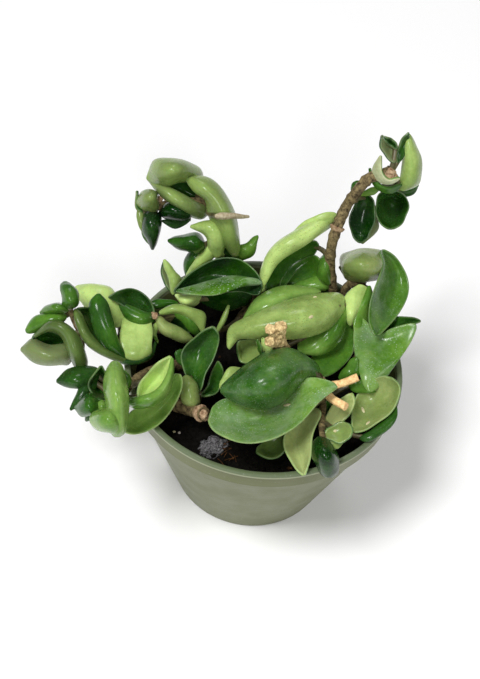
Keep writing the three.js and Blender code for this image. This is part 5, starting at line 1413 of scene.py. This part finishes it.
def pot_material():
    """Matte grey-green plastic, a little uneven, with faint moulding rings and scuffs."""
    material, tree, shader = new_material("pot_plastic", 0.42)
    links = tree.links
    up = node(tree, "SeparateXYZ", {0: place(tree)}).outputs["Z"]
    uneven = cloud(tree, 18, 2)
    colour = ramp(tree, uneven, [(0.3, (0.112, 0.127, 0.043)), (0.7, (0.127, 0.141, 0.053))])
    # Painted highlight: a pale band round the outside of the rim, from 65 mm up to the darker crest.
    lip = remap(tree, up, 0.0650, 0.0652, 0.0, 0.8)
    colour = mix(tree, lip, colour, (0.300, 0.330, 0.200))
    crest = remap(tree, up, 0.0660, 0.0664, 0.0, 0.9)
    colour = mix(tree, crest, colour, (0.088, 0.120, 0.058))
    dust = remap(tree, cloud(tree, 900, 5), 0.62, 0.72, 0.0, 0.2)
    colour = mix(tree, dust, colour, (0.42, 0.43, 0.36))
    links.new(colour, shader.inputs["Base Color"])
    rings = maths(tree, "SINE", maths(tree, "MULTIPLY", up, 2200.0))
    faint = bump(tree, rings, 0.08, 0.05)
    skin = bump(tree, cloud(tree, 1500, 3), 0.15, 0.05, faint)
    links.new(skin, shader.inputs["Normal"])
    worn = remap(tree, cloud(tree, 90, 4), 0.3, 0.7, 0.36, 0.5)
    links.new(worn, shader.inputs["Roughness"])
    return material


def grainy(name, roughness, dark, pale, scale):
    """Soil, bark bits or perlite: a rough speckled surface."""
    material, tree, shader = new_material(name, roughness)
    colour = ramp(tree, cloud(tree, scale, 6, 0.7), [(0.38, dark), (0.68, pale)])
    tree.links.new(colour, shader.inputs["Base Color"])
    tree.links.new(bump(tree, cloud(tree, 1.6 * scale, 5, 0.7), 0.9, 0.8), shader.inputs["Normal"])
    shader.inputs["Specular IOR Level"].default_value = 0.1
    return material


def floor_material():
    """The plain pale floor."""
    material, _, shader = new_material("studio_floor", 0.9)
    shader.inputs["Base Color"].default_value = (0.88, 0.88, 0.88, 1)
    return material


# Camera, light and floor


def build_camera():
    camera = bpy.data.objects.new("camera", bpy.data.cameras.new("camera"))
    bpy.context.collection.objects.link(camera)
    right = math.cos(PICTURE_ROLL) * across_picture - math.sin(PICTURE_ROLL) * picture_up
    up = math.sin(PICTURE_ROLL) * across_picture + math.cos(PICTURE_ROLL) * picture_up
    turn = Matrix((right, up, toward_eye)).transposed().to_4x4()
    camera.matrix_world = Matrix.Translation(Vector(eye * MM)) @ turn
    camera.data.sensor_width = SENSOR_WIDTH
    camera.data.lens = PIXELS_PER_MM * EYE_DISTANCE * SENSOR_WIDTH / PICTURE_LONG_SIDE
    camera.data.clip_start = 0.01
    bpy.context.scene.camera = camera


def soft_light(name, place_at, size, power):
    light = bpy.data.lights.new(name, "AREA")
    light.shape = "DISK"
    light.size = size
    light.energy = power
    lamp = bpy.data.objects.new(name, light)
    bpy.context.collection.objects.link(lamp)
    lamp.location = place_at
    aim = Vector((0, 0, 0.07)) - Vector(place_at)
    lamp.rotation_euler = aim.to_track_quat("-Z", "Y").to_euler()


def build_studio():
    for name, (place_at, size, power) in LIGHTS.items():
        soft_light(name, place_at, size, power)
    world = bpy.data.worlds.new("studio")
    world.use_nodes = True
    sky = world.node_tree.nodes["Background"]
    sky.inputs["Color"].default_value = (1, 1, 1, 1)
    sky.inputs["Strength"].default_value = SKY_STRENGTH
    bpy.context.scene.world = world
    bpy.context.scene.view_settings.view_transform = "Standard"
    bpy.ops.mesh.primitive_plane_add(size=FLOOR_SIZE, location=(0, 0, -0.5 * MM))
    floor = bpy.context.object
    floor.name = "studio_floor"
    floor.data.materials.append(floor_material())


# Blender's noise vectors start from the clock unless they are seeded.
noise.seed_set(SEED)

UPPER = leaf_upper()
UNDER = leaf_under()
RIM = leaf_rim()
DRY = woody("dry_bract", 0.7, (0.50, 0.44, 0.30), (0.26, 0.20, 0.11), 0.2)
UNDERSIDES = ("under", "olive", "cream")
LEAF_MATERIALS = {
    "upper": (UPPER, UNDER, RIM),
    "under": (UPPER, UNDER, RIM),
    "olive": (UPPER, leaf_olive(), RIM),
    "cream": (UPPER, leaf_cream(), RIM),
    "dry": (DRY, DRY, DRY),
}
BARK = woody("bark", 0.75, (0.24, 0.185, 0.085), (0.028, 0.018, 0.008), 0.5)
CUT_WOOD = woody("cut_wood", 0.7, (1.0, 0.70, 0.35), (0.66, 0.38, 0.16), 0.3)
STUB_WOOD = woody("stub_wood", 0.75, (0.80, 0.62, 0.31), (0.30, 0.19, 0.075), 0.25)
NODE_WOOD = woody("node_wood", 0.75, (0.50, 0.36, 0.22), (0.18, 0.09, 0.045), 0.4)
STALK = stalk_material()
POT_PLASTIC = pot_material()
SOIL = grainy("potting_soil", 0.95, (0.0010, 0.0008, 0.0006), (0.0075, 0.006, 0.0045), 700)
BARK_BITS = grainy("bark_bits", 0.9, (0.012, 0.006, 0.002), (0.13, 0.058, 0.02), 900)
PERLITE = grainy("perlite", 0.9, (0.28, 0.25, 0.21), (0.55, 0.50, 0.44), 900)
CLUMP = grainy("clump", 0.95, (0.012, 0.011, 0.012), (0.26, 0.25, 0.26), 1500)
FLECK = grainy("fleck", 0.8, (0.62, 0.56, 0.30), (0.85, 0.78, 0.52), 1500)

build_camera()
build_studio()
build_pot()
build_soil()
build_crumbs()
build_clump()
build_fibres()
for vine_name, vine_parts in VINES.items():
    build_vine(vine_name, vine_parts)
build_flecks()
